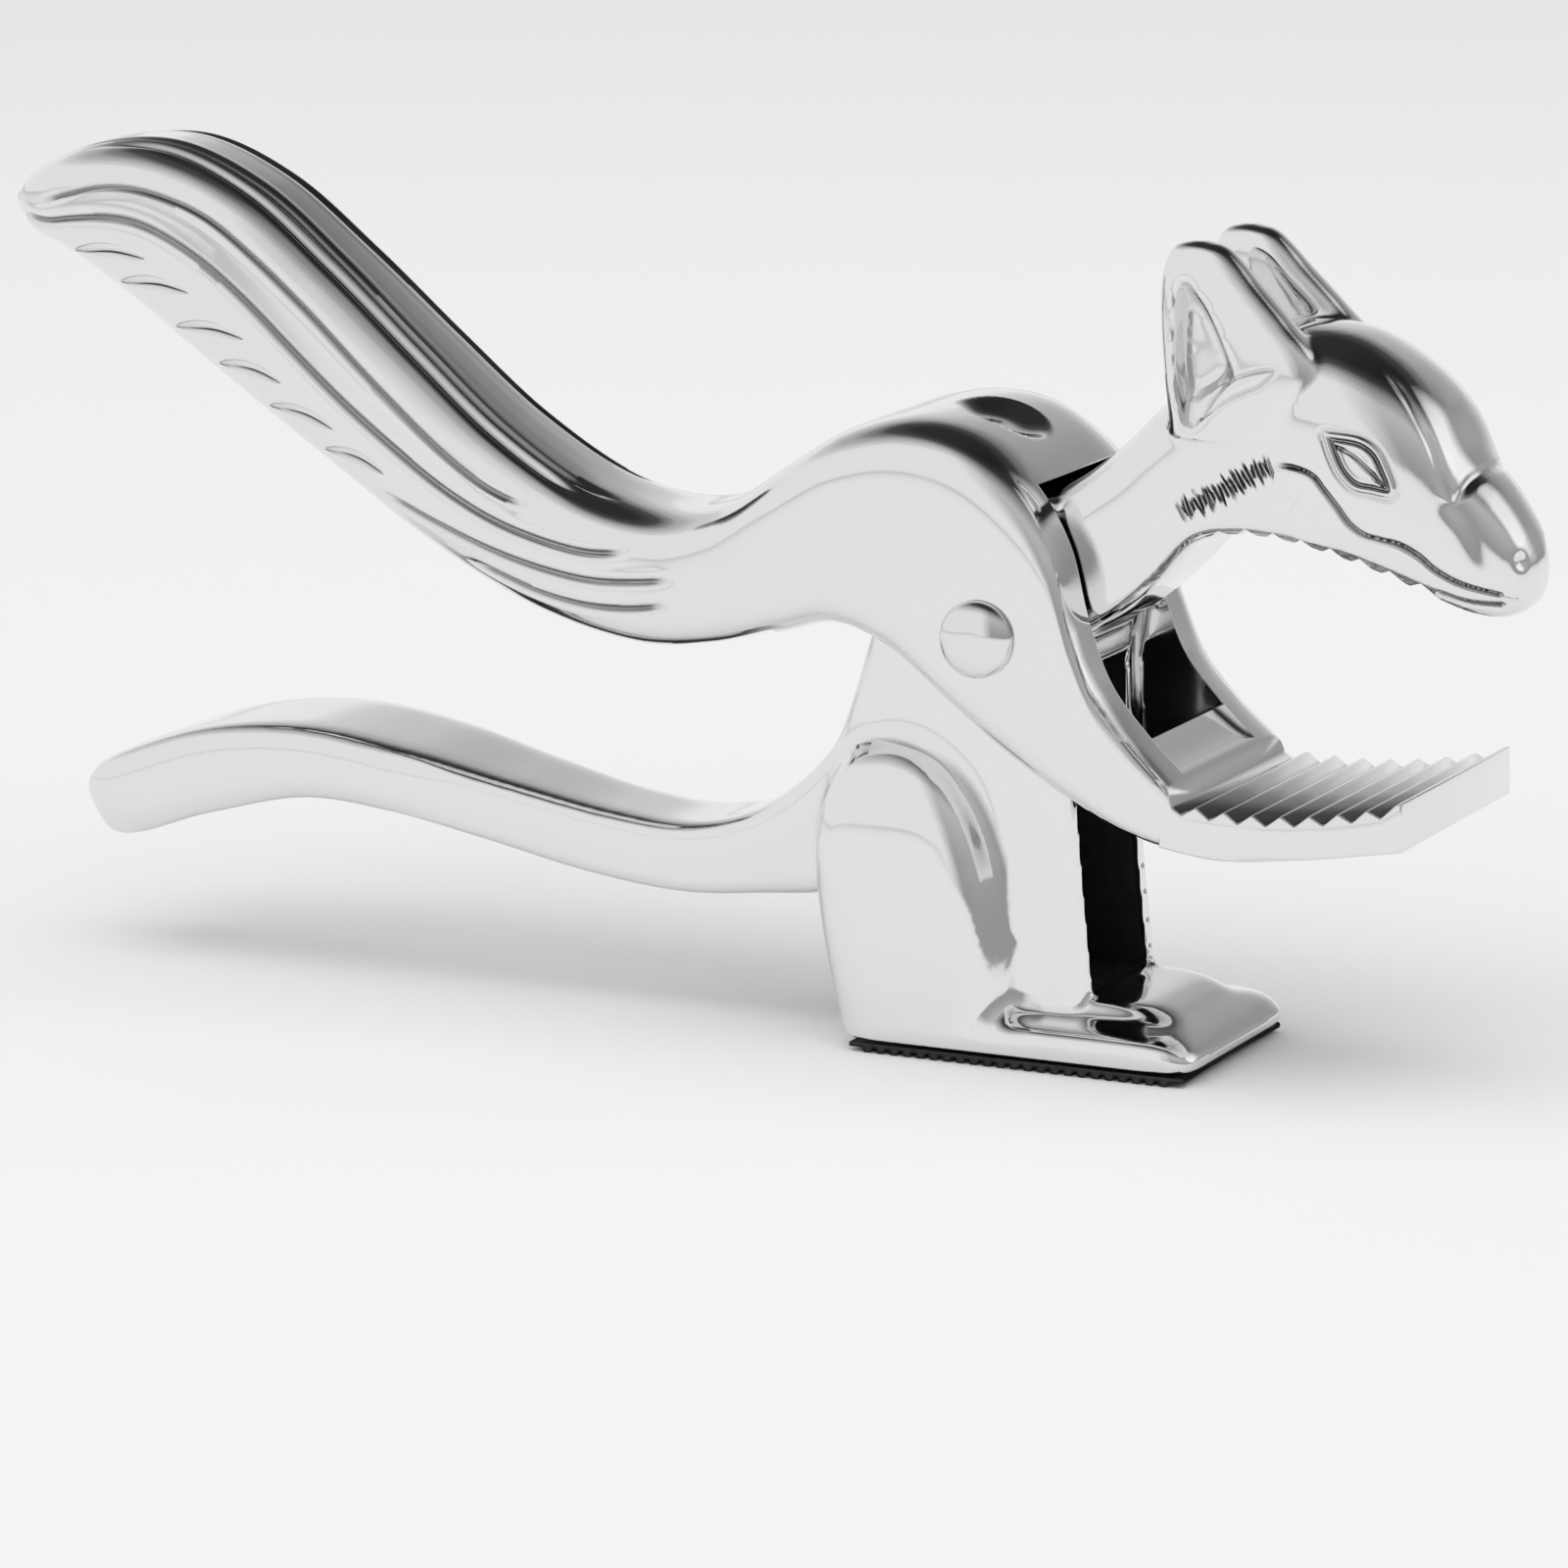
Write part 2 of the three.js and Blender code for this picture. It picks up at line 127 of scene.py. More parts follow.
TORSO = [
    [5.0, 50.0, -12.0, 50.0, TORSO_HALF, 10],
    [4.4, 44.0, -18.0, 44.0, TORSO_HALF, 10],
    [4.0, 39.0, -18.6, 39.0, TORSO_HALF, 10],
    [4.2, 33.0, -18.6, 33.0, 8.9, 12],
    [4.8, 26.0, -18.6, 26.0, 9.15, 12],
    [5.5, 18.0, -20.0, 18.0, 9.4, 12],
    [6.2, 11.0, -20.0, 11.0, 9.65, 12],
    [6.7, 6.0, -20.0, 6.0, 9.8, 12],
    [7.0, 2.0, -19.0, 2.0, 9.95, 12],
]
HAUNCHES = [
    [-13.4, 32.4, -18.0, 32.4, 8.6, 3],
    [-11.4, 31.5, -19.8, 31.5, 10.6, 4],
    [-8.2, 29.0, -21.8, 29.0, 12.2, 5],
    [-5.4, 24.6, -23.6, 24.6, 13.2, 6],
    [-3.6, 19.6, -24.0, 19.6, 13.6, 6.5],
    [-2.4, 13.6, -23.2, 13.6, 13.8, 7],
    [-1.4, 7.0, -21.8, 7.0, 13.9, 7],
    [-1.2, 1.6, -20.2, 1.6, 13.9, 7],
]
FOOT = [
    [8.0, 7.0, -14.4, 7.0, 8.2, 8],
    [12.4, 6.8, -16.8, 6.8, 8.8, 8],
    [14.2, 6.2, -18.2, 6.2, 9.2, 8],
    [15.6, 5.4, -19.0, 5.4, 9.9, 9],
    [16.9, 4.7, -19.3, 4.7, 12.6, 10],
    [17.9, 4.1, -19.5, 4.1, 13.6, 12],
    [18.8, 3.4, -19.6, 3.4, 14.0, 12],
    [19.5, 2.4, -19.5, 2.4, 14.0, 12],
    [19.2, 1.3, -19.5, 1.3, 13.8, 12],
]
HANDLE = [
    [-112.4, 19.2, -111.6, 16.0, 7.8, 4],
    [-110.4, 21.0, -108.4, 13.0, 9.2, 6],
    [-98.4, 25.7, -97.0, 16.2, 9.4, 7],
    [-86.0, 27.2, -85.0, 19.1, 9.4, 7],
    [-74.0, 25.8, -75.0, 18.6, 9.2, 7],
    [-62.0, 23.2, -64.0, 16.4, 8.0, 7],
    [-50.0, 20.9, -52.0, 13.8, 7.0, 7],
    [-41.0, 20.4, -41.0, 12.8, 7.0, 7],
    [-33.4, 22.4, -32.0, 13.6, 7.4, 7],
    [-27.4, 26.4, -23.0, 15.0, 8.0, 7],
    [-23.2, 31.0, -15.0, 20.0, 8.6, 7],
    [-21.0, 36.4, -11.0, 30.0, 8.7, 7],
    [-19.2, 42.0, -9.0, 40.0, TORSO_HALF, 7],
    [-17.0, 47.0, -9.0, 46.0, TORSO_HALF, 7],
]


# -------------------------------------------------------------------------------------------------- curves


def spline(points, t):
    """Centripetal Catmull-Rom curve through the points, at each t from 0 to 1."""
    p = np.asarray(points, float)
    t = np.atleast_1d(t)
    p = np.vstack([2 * p[0] - p[1], p, 2 * p[-1] - p[-2]])
    last = len(p) - 3
    place = np.clip(t, 0, 1) * last
    i = np.minimum(place.astype(int), last - 1)
    w = (place - i)[:, None]
    p0, p1, p2, p3 = p[i], p[i + 1], p[i + 2], p[i + 3]

    def stretch(a, b):
        return np.sqrt(np.linalg.norm(b - a, axis=1))[:, None]

    d1 = np.maximum(stretch(p1, p2), 1e-4)
    d0 = np.maximum(stretch(p0, p1), 1e-4)
    d2 = np.maximum(stretch(p2, p3), 1e-4)
    m1 = ((p1 - p0) / d0 - (p2 - p0) / (d0 + d1) + (p2 - p1) / d1) * d1
    m2 = ((p2 - p1) / d1 - (p3 - p1) / (d1 + d2) + (p3 - p2) / d2) * d1
    return p1 + m1 * w + (3 * (p2 - p1) - 2 * m1 - m2) * w**2 + (2 * (p1 - p2) + m1 + m2) * w**3


def curve(points, steps=60):
    return spline(points, np.linspace(0, 1, steps))


def outline(*runs):
    """A closed side-view outline: a smooth curve through each run, with straight lines between them."""
    return np.vstack([curve(run, steps=14) if len(run) > 2 else np.array(run, float) for run in runs])


def step(low, high, x):
    """Smooth 0 to 1 as x goes from low to high."""
    t = np.clip((x - low) / (high - low), 0, 1)
    return t * t * (3 - 2 * t)


def bell(away, width):
    """1 on a line, fading to 0 on both sides of it."""
    return np.exp(-((away / width) ** 2))


def near_path(path, x, z):
    """Distance from each (x, z) to a path, how far along it the nearest point is (0 to 1), and the side."""
    a, b = path[:-1], path[1:]
    leg = b - a
    length = np.maximum(np.linalg.norm(leg, axis=1), 1e-9)
    start = np.concatenate([[0], np.cumsum(length)[:-1]]) / length.sum()
    best = np.full(len(x), 1e9)
    along = np.zeros(len(x))
    side = np.ones(len(x))
    for k in range(len(leg)):
        dx, dz = x - a[k, 0], z - a[k, 1]
        t = np.clip((dx * leg[k, 0] + dz * leg[k, 1]) / length[k] ** 2, 0, 1)
        d = np.hypot(dx - t * leg[k, 0], dz - t * leg[k, 1])
        hit = d < best
        best[hit] = d[hit]
        along[hit] = (start[k] + t * length[k] / length.sum())[hit]
        side[hit] = np.sign(leg[k, 0] * dz - leg[k, 1] * dx)[hit]
    return best, along, side


def near_line(path, points):
    """Distance in space from each point to a path, and how far along it the nearest place is (0 to 1)."""
    a, b = path[:-1], path[1:]
    leg = b - a
    length = np.maximum(np.linalg.norm(leg, axis=1), 1e-9)
    start = np.concatenate([[0], np.cumsum(length)[:-1]]) / length.sum()
    best = np.full(len(points), 1e9)
    along = np.zeros(len(points))
    for k in range(len(leg)):
        d = points - a[k]
        t = np.clip(d @ leg[k] / length[k] ** 2, 0, 1)
        gap = np.linalg.norm(d - t[:, None] * leg[k], axis=1)
        hit = gap < best
        best[hit] = gap[hit]
        along[hit] = (start[k] + t * length[k] / length.sum())[hit]
    return best, along


def inside(loop, x, z):
    """Which points lie inside a closed outline."""
    count = np.zeros(len(x), int)
    for (x0, z0), (x1, z1) in zip(loop, np.roll(loop, -1, axis=0)):
        if z0 == z1:
            continue
        crosses = (z0 > z) != (z1 > z)
        count += crosses & (x < (x1 - x0) * (z - z0) / (z1 - z0) + x0)
    return count % 2 == 1


# -------------------------------------------------------------------------------------------------- meshes


def thing(name, points_mm, faces):
    """A mesh object from points in millimetres, its faces turned outwards."""
    mesh = bpy.data.meshes.new(name)
    mesh.from_pydata((np.asarray(points_mm) * MM).tolist(), [], [list(f) for f in faces])
    piece = bpy.data.objects.new(name, mesh)
    bpy.context.collection.objects.link(piece)
    form = bmesh.new()
    form.from_mesh(mesh)
    if form.calc_volume(signed=True) < 0:
        bmesh.ops.reverse_faces(form, faces=form.faces)
    form.to_mesh(mesh)
    form.free()
    return piece


def settle(piece):
    """Applies a piece's modifiers."""
    evaluated = piece.evaluated_get(bpy.context.evaluated_depsgraph_get())
    mesh = bpy.data.meshes.new_from_object(evaluated)
    piece.modifiers.clear()
    old = piece.data
    piece.data = mesh
    bpy.data.meshes.remove(old)
    return piece


def combine(piece, tool, operation):
    """Joins a closed tool to a closed piece or cuts it away, and deletes the tool."""
    bpy.context.view_layer.update()
    boolean = piece.modifiers.new(operation.lower(), "BOOLEAN")
    boolean.operation = operation
    boolean.solver = "MANIFOLD"
    boolean.object = tool
    settle(piece)
    bpy.data.objects.remove(tool)
    return piece


def join(piece, *tools):
    for tool in tools:
        combine(piece, tool, "UNION")
    return piece


def cut(piece, *tools):
    for tool in tools:
        combine(piece, tool, "DIFFERENCE")
    return piece


def plate(name, shape, y0, y1):
    """A side-view outline made solid from y0 to y1."""
    n = len(shape)
    near = np.column_stack([shape[:, 0], np.full(n, y0), shape[:, 1]])
    far = np.column_stack([shape[:, 0], np.full(n, y1), shape[:, 1]])
    sides = [[i, (i + 1) % n, n + (i + 1) % n, n + i] for i in range(n)]
    return thing(name, np.vstack([near, far]), [list(range(n))[::-1], list(range(n, 2 * n))] + sides)


def bar(name, radius, half):
    """A round bar across the object, on the hinge axis."""
    sides = 96
    a = np.arange(sides) * 2 * math.pi / sides
    circle = np.column_stack([PIVOT_X + radius * np.cos(a), PIVOT_Z + radius * np.sin(a)])
    return plate(name, circle, -half, half)


def quarter_profile(squareness, steps=120):
    """A quarter of a superellipse from the top middle to its widest point: across, up."""
    corner = 2 ** (-1 / squareness)
    k = np.linspace(0, corner, steps)
    rest = (1 - k**squareness) ** (1 / squareness)
    return np.concatenate([k, rest[-2::-1]]), np.concatenate([rest, k[-2::-1]])


def flank_profile(section):
    """Half a section round one flank, from top middle to bottom middle: across, up, arc length."""
    half, reach = section[4], math.dist(section[:2], section[2:4])
    across, up = quarter_profile(section[5])
    across_below, up_below = quarter_profile(section[6])
    across = np.concatenate([across, across_below[-2::-1]])
    up = np.concatenate([up, -up_below[-2::-1]])
    arc = np.concatenate([[0], np.cumsum(np.hypot(np.diff(across) * half, np.diff(up) * reach / 2))])
    return across, up, arc


def stations(sections, count):
    """Sections evenly spaced along a body, interpolated from its table."""
    table = np.array([s if len(s) == 7 else s + [s[5]] for s in sections], float)
    near, far = table[:, [0, 1, 4]], table[:, [2, 3, 5, 6]]
    t = np.linspace(0, 1, 40 * len(sections))
    middle = (spline(near, t)[:, :2] + spline(far, t)[:, :2]) / 2
    run = np.concatenate([[0], np.cumsum(np.linalg.norm(np.diff(middle, axis=0), axis=1))])
    even = np.interp(np.linspace(0, run[-1], count), run, t)
    tops, feet = spline(near, even), spline(far, even)
    return np.column_stack([tops[:, :2], feet[:, :2], tops[:, 2], feet[:, 2:]])


def skin(name, rings):
    """A closed surface over rings of points, each (columns, 3), with a fan over each end."""
    rows, columns, _ = rings.shape
    points = np.vstack([rings.reshape(-1, 3), rings[0].mean(0), rings[-1].mean(0)])
    index = np.arange(rows * columns).reshape(rows, columns)
    right = np.roll(index, -1, axis=1)
    faces = np.stack([index[:-1], right[:-1], right[1:], index[1:]], -1).reshape(-1, 4).tolist()
    first, last = rows * columns, rows * columns + 1
    faces += [[first, right[0, i], index[0, i]] for i in range(columns)]
    faces += [[last, index[-1, i], right[-1, i]] for i in range(columns)]
    return thing(name, points, faces)


def ring_points(section, across, up, y=0.0):
    """Points of a section at places on its near flank, followed by those on its far flank."""
    top, foot, half = section[:2], section[2:4], section[4]
    middle = (top + foot) / 2 + np.outer(up, (top - foot) / 2)
    near = np.column_stack([middle[:, 0], y - across * half, middle[:, 1]])
    far = np.column_stack([middle[:, 0], y + across * half, middle[:, 1]])
    return np.vstack([near, far[-2:0:-1]])


def loft(name, sections, rows=60, columns=48, y=0.0):
    rings = []
    for section in stations(sections, rows):
        across, up, arc = flank_profile(section)
        places = np.linspace(0, arc[-1], columns)
        rings.append(ring_points(section, np.interp(places, arc, across), np.interp(places, arc, up), y))
    return skin(name, np.array(rings))


def points_of(piece):
    co = np.empty(len(piece.data.vertices) * 3, np.float32)
    piece.data.vertices.foreach_get("co", co)
    return co.reshape(-1, 3).astype(float) / MM


def normals_of(piece):
    n = np.empty(len(piece.data.vertices) * 3, np.float32)
    piece.data.vertices.foreach_get("normal", n)
    return n.reshape(-1, 3).astype(float)


def move_points(piece, points_mm):
    piece.data.vertices.foreach_set("co", (points_mm * MM).astype(np.float32).ravel())
    piece.data.update()


def relax(piece, rounds, share=None):
    """Evens out a dense mesh, fully or by each point's share, which turns sharp joins into fillets."""
    pairs = np.empty(len(piece.data.edges) * 2, np.int64)
    piece.data.edges.foreach_get("vertices", pairs)
    a, b = pairs[::2], pairs[1::2]
    p = points_of(piece)
    count = np.bincount(np.concatenate([a, b]), minlength=len(p))[:, None]
    weight = 0.5 if share is None else 0.5 * share[:, None]
    for _ in range(rounds):
        total = np.empty_like(p)
        for axis in range(3):
            total[:, axis] = np.bincount(a, p[b, axis], len(p)) + np.bincount(b, p[a, axis], len(p))
        p += weight * (total / count - p)
    move_points(piece, p)


def remesh(piece, voxel_mm):
    solid = piece.modifiers.new("one_skin", "REMESH")
    solid.mode = "VOXEL"
    solid.voxel_size = voxel_mm * MM
    return settle(piece)


def refine(piece, wanted):
    """Splits every edge whose two ends are wanted."""
    form = bmesh.new()
    form.from_mesh(piece.data)
    form.verts.ensure_lookup_table()
    edges = [e for e in form.edges if wanted[e.verts[0].index] and wanted[e.verts[1].index]]
    bmesh.ops.subdivide_edges(form, edges=edges, cuts=1, use_grid_fill=True)
    form.to_mesh(piece.data)
    form.free()


def smooth_faces(piece, angle):
    """Shades smoothly, except over edges sharper than the angle in degrees."""
    piece.data.shade_smooth()
    piece.data.set_sharp_from_angle(angle=math.radians(angle))


# ----------------------------------------------------------------------------------------------- materials


def material(name, colour, metallic, roughness):
    look = bpy.data.materials.new(name)
    look.use_nodes = True
    shader = look.node_tree.nodes["Principled BSDF"]
    shader.inputs["Base Color"].default_value = (*colour, 1)
    shader.inputs["Metallic"].default_value = metallic
    shader.inputs["Roughness"].default_value = roughness
    return look, look.node_tree, shader


def noise(tree, scale, detail, rough=0.5, stretch=(1, 1, 1)):
    """Noise in object space; scale is in waves per metre."""
    place = tree.nodes.new("ShaderNodeTexCoord")
    mapping = tree.nodes.new("ShaderNodeMapping")
    mapping.inputs["Scale"].default_value = stretch
    texture = tree.nodes.new("ShaderNodeTexNoise")
    texture.inputs["Scale"].default_value = scale
    texture.inputs["Detail"].default_value = detail
    texture.inputs["Roughness"].default_value = rough
    tree.links.new(place.outputs["Object"], mapping.inputs["Vector"])
    tree.links.new(mapping.outputs["Vector"], texture.inputs["Vector"])
    return texture.outputs["Fac"]


def remap(tree, value, low, high, new_low, new_high):
    node = tree.nodes.new("ShaderNodeMapRange")
    node.inputs["From Min"].default_value = low
    node.inputs["From Max"].default_value = high
    node.inputs["To Min"].default_value = new_low
    node.inputs["To Max"].default_value = new_high
    tree.links.new(value, node.inputs["Value"])
    return node.outputs["Result"]


def arithmetic(tree, operation, a, b):
    node = tree.nodes.new("ShaderNodeMath")
    node.operation = operation
    for socket, value in zip(node.inputs, (a, b)):
        if isinstance(value, (int, float)):
            socket.default_value = value
        else:
            tree.links.new(value, socket)
    return node.outputs["Value"]


def bump(tree, shader, height, strength, distance_mm):
    node = tree.nodes.new("ShaderNodeBump")
    node.inputs["Strength"].default_value = strength
    node.inputs["Distance"].default_value = distance_mm * MM
    tree.links.new(height, node.inputs["Height"])
    tree.links.new(node.outputs["Normal"], shader.inputs["Normal"])
    return node


def chrome(name, bright=0.82, roughness=0.05, edge_mm=0.25, groove_mm=0.9):
    """Polished chrome plate: handling smudges and polishing hairlines in the gloss, and painted shade in the
    hollows, where ambient occlusion darkens the base colour.
    """
    colour = (bright, bright, bright * 1.005)
    look, tree, shader = material(name, colour, 1.0, roughness)
    smudges = remap(tree, noise(tree, 90, 4, 0.55), 0.35, 0.75, 0.0, 0.055)
    hairlines = remap(tree, noise(tree, 1400, 3, 0.6, (0.12, 1, 1)), 0.3, 0.8, 0.0, 0.03)
    gloss = arithmetic(tree, "ADD", arithmetic(tree, "ADD", smudges, hairlines), roughness)
    tree.links.new(gloss, shader.inputs["Roughness"])

    # Painted shade: the base colour darkens to near-black where ambient occlusion finds grooves and hollows.
    shelter = tree.nodes.new("ShaderNodeAmbientOcclusion")
    shelter.samples = 8
    shelter.only_local = True
    shelter.inputs["Distance"].default_value = groove_mm * MM
    painted_hollow_shade = tree.nodes.new("ShaderNodeValToRGB")
    painted_hollow_shade.color_ramp.elements[0].position = 0.62
    painted_hollow_shade.color_ramp.elements[0].color = (0.10, 0.10, 0.105, 1)
    painted_hollow_shade.color_ramp.elements[1].position = 0.92
    painted_hollow_shade.color_ramp.elements[1].color = (*colour, 1)
    tree.links.new(shelter.outputs["AO"], painted_hollow_shade.inputs["Fac"])
    tree.links.new(painted_hollow_shade.outputs["Color"], shader.inputs["Base Color"])

    orange_peel = noise(tree, 260, 2, 0.4)
    node = bump(tree, shader, orange_peel, 0.05, 0.12)
    if edge_mm:
        edge = tree.nodes.new("ShaderNodeBevel")
        edge.samples = 4
        edge.inputs["Radius"].default_value = edge_mm * MM
        tree.links.new(edge.outputs["Normal"], node.inputs["Normal"])
    return look


def painted_chest_shade(name):
    """Painted shade inside the cored chest: near-black, unpolished metal that stands in for the shade there.
    """
    look, tree, shader = material(name, (0.01, 0.01, 0.01), 0.0, 0.5)
    grain = noise(tree, 900, 5, 0.6)
    tone = tree.nodes.new("ShaderNodeValToRGB")
    tone.color_ramp.elements[0].color = (0.006, 0.006, 0.007, 1)
    tone.color_ramp.elements[1].color = (0.018, 0.018, 0.019, 1)
    tree.links.new(grain, tone.inputs["Fac"])
    tree.links.new(tone.outputs["Color"], shader.inputs["Base Color"])
    tree.links.new(remap(tree, grain, 0.3, 0.7, 0.35, 0.6), shader.inputs["Roughness"])
    bump(tree, shader, grain, 0.3, 0.08)
    return look


def rubber(name):
    """Matt black moulded rubber, dusty in random patches."""
    look, tree, shader = material(name, (0.012, 0.012, 0.013), 0.0, 0.62)
    grain = noise(tree, 2600, 5, 0.65)
    patches = noise(tree, 160, 3, 0.5)
    tone = tree.nodes.new("ShaderNodeValToRGB")
    tone.color_ramp.elements[0].color = (0.008, 0.008, 0.009, 1)
    tone.color_ramp.elements[1].color = (0.035, 0.034, 0.034, 1)
    tree.links.new(patches, tone.inputs["Fac"])
    tree.links.new(tone.outputs["Color"], shader.inputs["Base Color"])
    tree.links.new(remap(tree, grain, 0.3, 0.7, 0.5, 0.78), shader.inputs["Roughness"])
    bump(tree, shader, grain, 0.35, 0.12)
    return look


# --------------------------------------------------------------------------------------------------- lever

# Grooves along the tail, in the side view from tip to root: points, depth, half width.
FLANK_LINES = [
    ([(-119.0, 80.6), (-113.2, 82.4), (-108.4, 83.6), (-103.6, 83.6), (-96.5, 81.6), (-90.6, 77.8),
      (-83.7, 72.2), (-75.6, 64.9), (-67.5, 58.2), (-61.8, 54.6), (-56.5, 52.9)], 0.42, 0.34),
    ([(-122.6, 79.6), (-118.0, 79.0), (-110.9, 80.1), (-106.1, 80.3), (-102.5, 79.6), (-96.6, 76.8),
      (-90.7, 72.5), (-84.9, 67.4), (-79.1, 62.5), (-73.3, 58.2), (-67.6, 54.4), (-61.8, 51.5),
      (-56.1, 49.8), (-50.3, 48.9), (-44.7, 49.5)], 0.55, 0.42),
    ([(-75.7, 53.6), (-71.1, 51.6), (-67.6, 50.2), (-61.8, 48.2), (-56.1, 46.8), (-50.4, 46.0), (-45.8, 46.2),
      (-39.3, 47.1)], 0.5, 0.38),
    ([(-65.9, 47.2), (-61.9, 45.8), (-56.1, 44.0), (-50.4, 43.2), (-45.8, 43.4), (-39.6, 44.5)], 0.5, 0.38),
]
# Grooves along the crown: (x, distance from the middle), depth, half width.
CROWN_LINES = [
    ([(-119.0, 2.4), (-112.0, 3.4), (-100.0, 3.6), (-87.0, 3.7), (-75.0, 4.3), (-60.0, 4.9),
      (-48.0, 5.2)], 0.5, 0.42),
    ([(-113.0, 5.0), (-104.0, 5.5), (-91.0, 5.7), (-75.0, 6.1), (-62.0, 6.6), (-50.0, 6.9)], 0.5, 0.42),
]
COLUMNS_BETWEEN = [11, 8, 14, 10, 15, 10, 30]  # from the top middle, line to line, to the bottom middle
CROWDING = 0.72  # how far columns crowd towards the lines
TAIL_STATIONS = 520
LEAST_SHARE = 0.012  # least share of the girth between two lines
EVENING = 6  # stations on each side over which a line's course is evened out
SHOULDER, SHOULDER_AT = 0.16, 2.4  # raised lips beside a groove: share of its depth, and half widths away
CROWN_FADE = 9.0  # length over which a crown groove fades out at its ends
# Feathers: the two ends of each one's middle line, in the side view.
FEATHERS = [
    [(-112.8, 76.3), (-102.8, 76.3)],
    [(-106.8, 73.4), (-97.6, 73.0)],
    [(-100.0, 69.1), (-91.0, 68.5)],
    [(-94.8, 65.5), (-86.6, 64.1)],
    [(-88.8, 61.4), (-80.4, 59.6)],
    [(-82.0, 57.3), (-74.4, 55.3)],
]
FEATHER_ARCH = 0.4
FEATHER_BLADE = (0.95, 0.42)  # half width, depth
FEATHER_KEEL = (0.22, 0.66)
KEEL_DELAY = 1.2  # how much nearer the root a keel starts than its blade
THUMB_X, THUMB_LONG, THUMB_WIDE, THUMB_DEPTH = -7.6, 4.9, 5.2, 1.5


def level_on(sections, path):
    """Where a side-view path crosses each station: -1 at the bottom, 1 at the top, NaN where it doesn't."""
    level = np.full(len(sections), np.nan)
    for k, (tx, tz, bx, bz, *_) in enumerate(sections):
        axis = np.array([tx - bx, tz - bz])
        reach = np.linalg.norm(axis)
        axis /= reach
        d = path - [(tx + bx) / 2, (tz + bz) / 2]
        off = d[:, 0] * axis[1] - d[:, 1] * axis[0]
        crossing = np.nonzero(np.diff(np.sign(off)))[0]
        for i in crossing:
            share = off[i] / (off[i] - off[i + 1])
            point = d[i] + share * (d[i + 1] - d[i])
            if abs(point @ axis) < 0.6 * reach:
                level[k] = point @ axis / (reach / 2)
    return level


def fill(values):
    """Holds the first and last known value beyond them."""
    known = np.nonzero(~np.isnan(values))[0]
    return np.interp(np.arange(len(values)), known, values[known])


def presence(values, run, fade_mm=4.0):
    """1 where a line exists, fading to 0 at its ends."""
    known = np.nonzero(~np.isnan(values))[0]
    first, last = run[known[0]], run[known[-1]]
    return step(first, first + fade_mm, run) * (1 - step(last - fade_mm, last, run))


def fluted_tail():
    """The lever's skin, its columns laid along the tail's grooves so that each groove stays crisp."""
    sections = stations(LEVER, TAIL_STATIONS)
    middle = (sections[:, :2] + sections[:, 2:4]) / 2
    run = np.concatenate([[0], np.cumsum(np.linalg.norm(np.diff(middle, axis=0), axis=1))])
    profiles = [flank_profile(s) for s in sections]

    arcs, present, shapes = [], [], []
    for path, depth, width in CROWN_LINES:
        p = np.array(path)
        top_x = sections[:, 0]
        offset = np.interp(top_x, p[:, 0], p[:, 1])
        offset[(top_x < p[0, 0]) | (top_x > p[-1, 0])] = np.nan
        present.append(presence(offset, run, CROWN_FADE))
        offset = fill(offset)
        place = []
        for (across, _, arc), s, y in zip(profiles, sections, offset):
            widest = len(across) // 2
            place.append(np.interp(min(y / s[4], 0.9), across[: widest + 1], arc[: widest + 1]))
        arcs.append(place)
        shapes.append((depth, width))
    for path, depth, width in FLANK_LINES:
        level = level_on(sections, curve(path, 200))
        present.append(presence(level, run))
        level = np.clip(fill(level), -0.97, 0.97)
        arcs.append([np.interp(-v, -up, arc) for v, (_, up, arc) in zip(level, profiles)])
        shapes.append((depth, width))
    arcs = np.array(arcs).T
    total = np.array([arc[-1] for _, _, arc in profiles])

    # Lines beyond their ends keep an even share of the girth, so that columns never cross.
    knots = np.column_stack([np.zeros(len(total)), arcs, total])
    for j in range(1, knots.shape[1]):
        knots[:, j] = np.maximum(knots[:, j], knots[:, j - 1] + LEAST_SHARE * total)
    knots[:, -1] = total
    for j in range(knots.shape[1] - 2, 0, -1):
        knots[:, j] = np.minimum(knots[:, j], knots[:, j + 1] - LEAST_SHARE * total)
    window = 2 * EVENING + 1
    for j in range(1, knots.shape[1] - 1):
        padded = np.pad(knots[:, j], EVENING, mode="edge")
        knots[:, j] = np.convolve(padded, np.ones(window) / window, "valid")

    rings, cuts = [], []
    for k, (section, (across, up, arc)) in enumerate(zip(sections, profiles)):
        places = [[0.0]]
        for j, n in enumerate(COLUMNS_BETWEEN):
            t = np.arange(1, n + 1) / n
            t = t - CROWDING * np.sin(2 * math.pi * t) / (2 * math.pi)
            places.append(knots[k, j] + t * (knots[k, j + 1] - knots[k, j]))
        places = np.concatenate(places)
        rings.append(ring_points(section, np.interp(places, arc, across), np.interp(places, arc, up)))
        depth = np.zeros(len(places))
        for j, (deep, width) in enumerate(shapes):
            away = (places - knots[k, j + 1]) / width
            shape = bell(away, 1) - SHOULDER * bell(np.abs(away) - SHOULDER_AT, 1)
            depth += present[j][k] * deep * shape
        cuts.append(np.concatenate([depth, depth[-2:0:-1]]))
    rings, cuts = np.array(rings), np.array(cuts)

    # Outward normals of the smooth skin.
    lengthways = np.gradient(rings, axis=0)
    around = np.roll(rings, -1, axis=1) - np.roll(rings, 1, axis=1)
    normal = np.cross(lengthways, around)
    normal /= np.maximum(np.linalg.norm(normal, axis=2, keepdims=True), 1e-9)
    centre = rings.mean(1, keepdims=True)
    if ((rings - centre) * normal).sum() < 0:
        normal = -normal

    flat = rings.reshape(-1, 3)
    x, y, z = flat.T
    depth = cuts.ravel() + thumb_hollow(x, y, z)
    flat = flat - normal.reshape(-1, 3) * depth[:, None]
    return skin("lever_skin", flat.reshape(rings.shape))


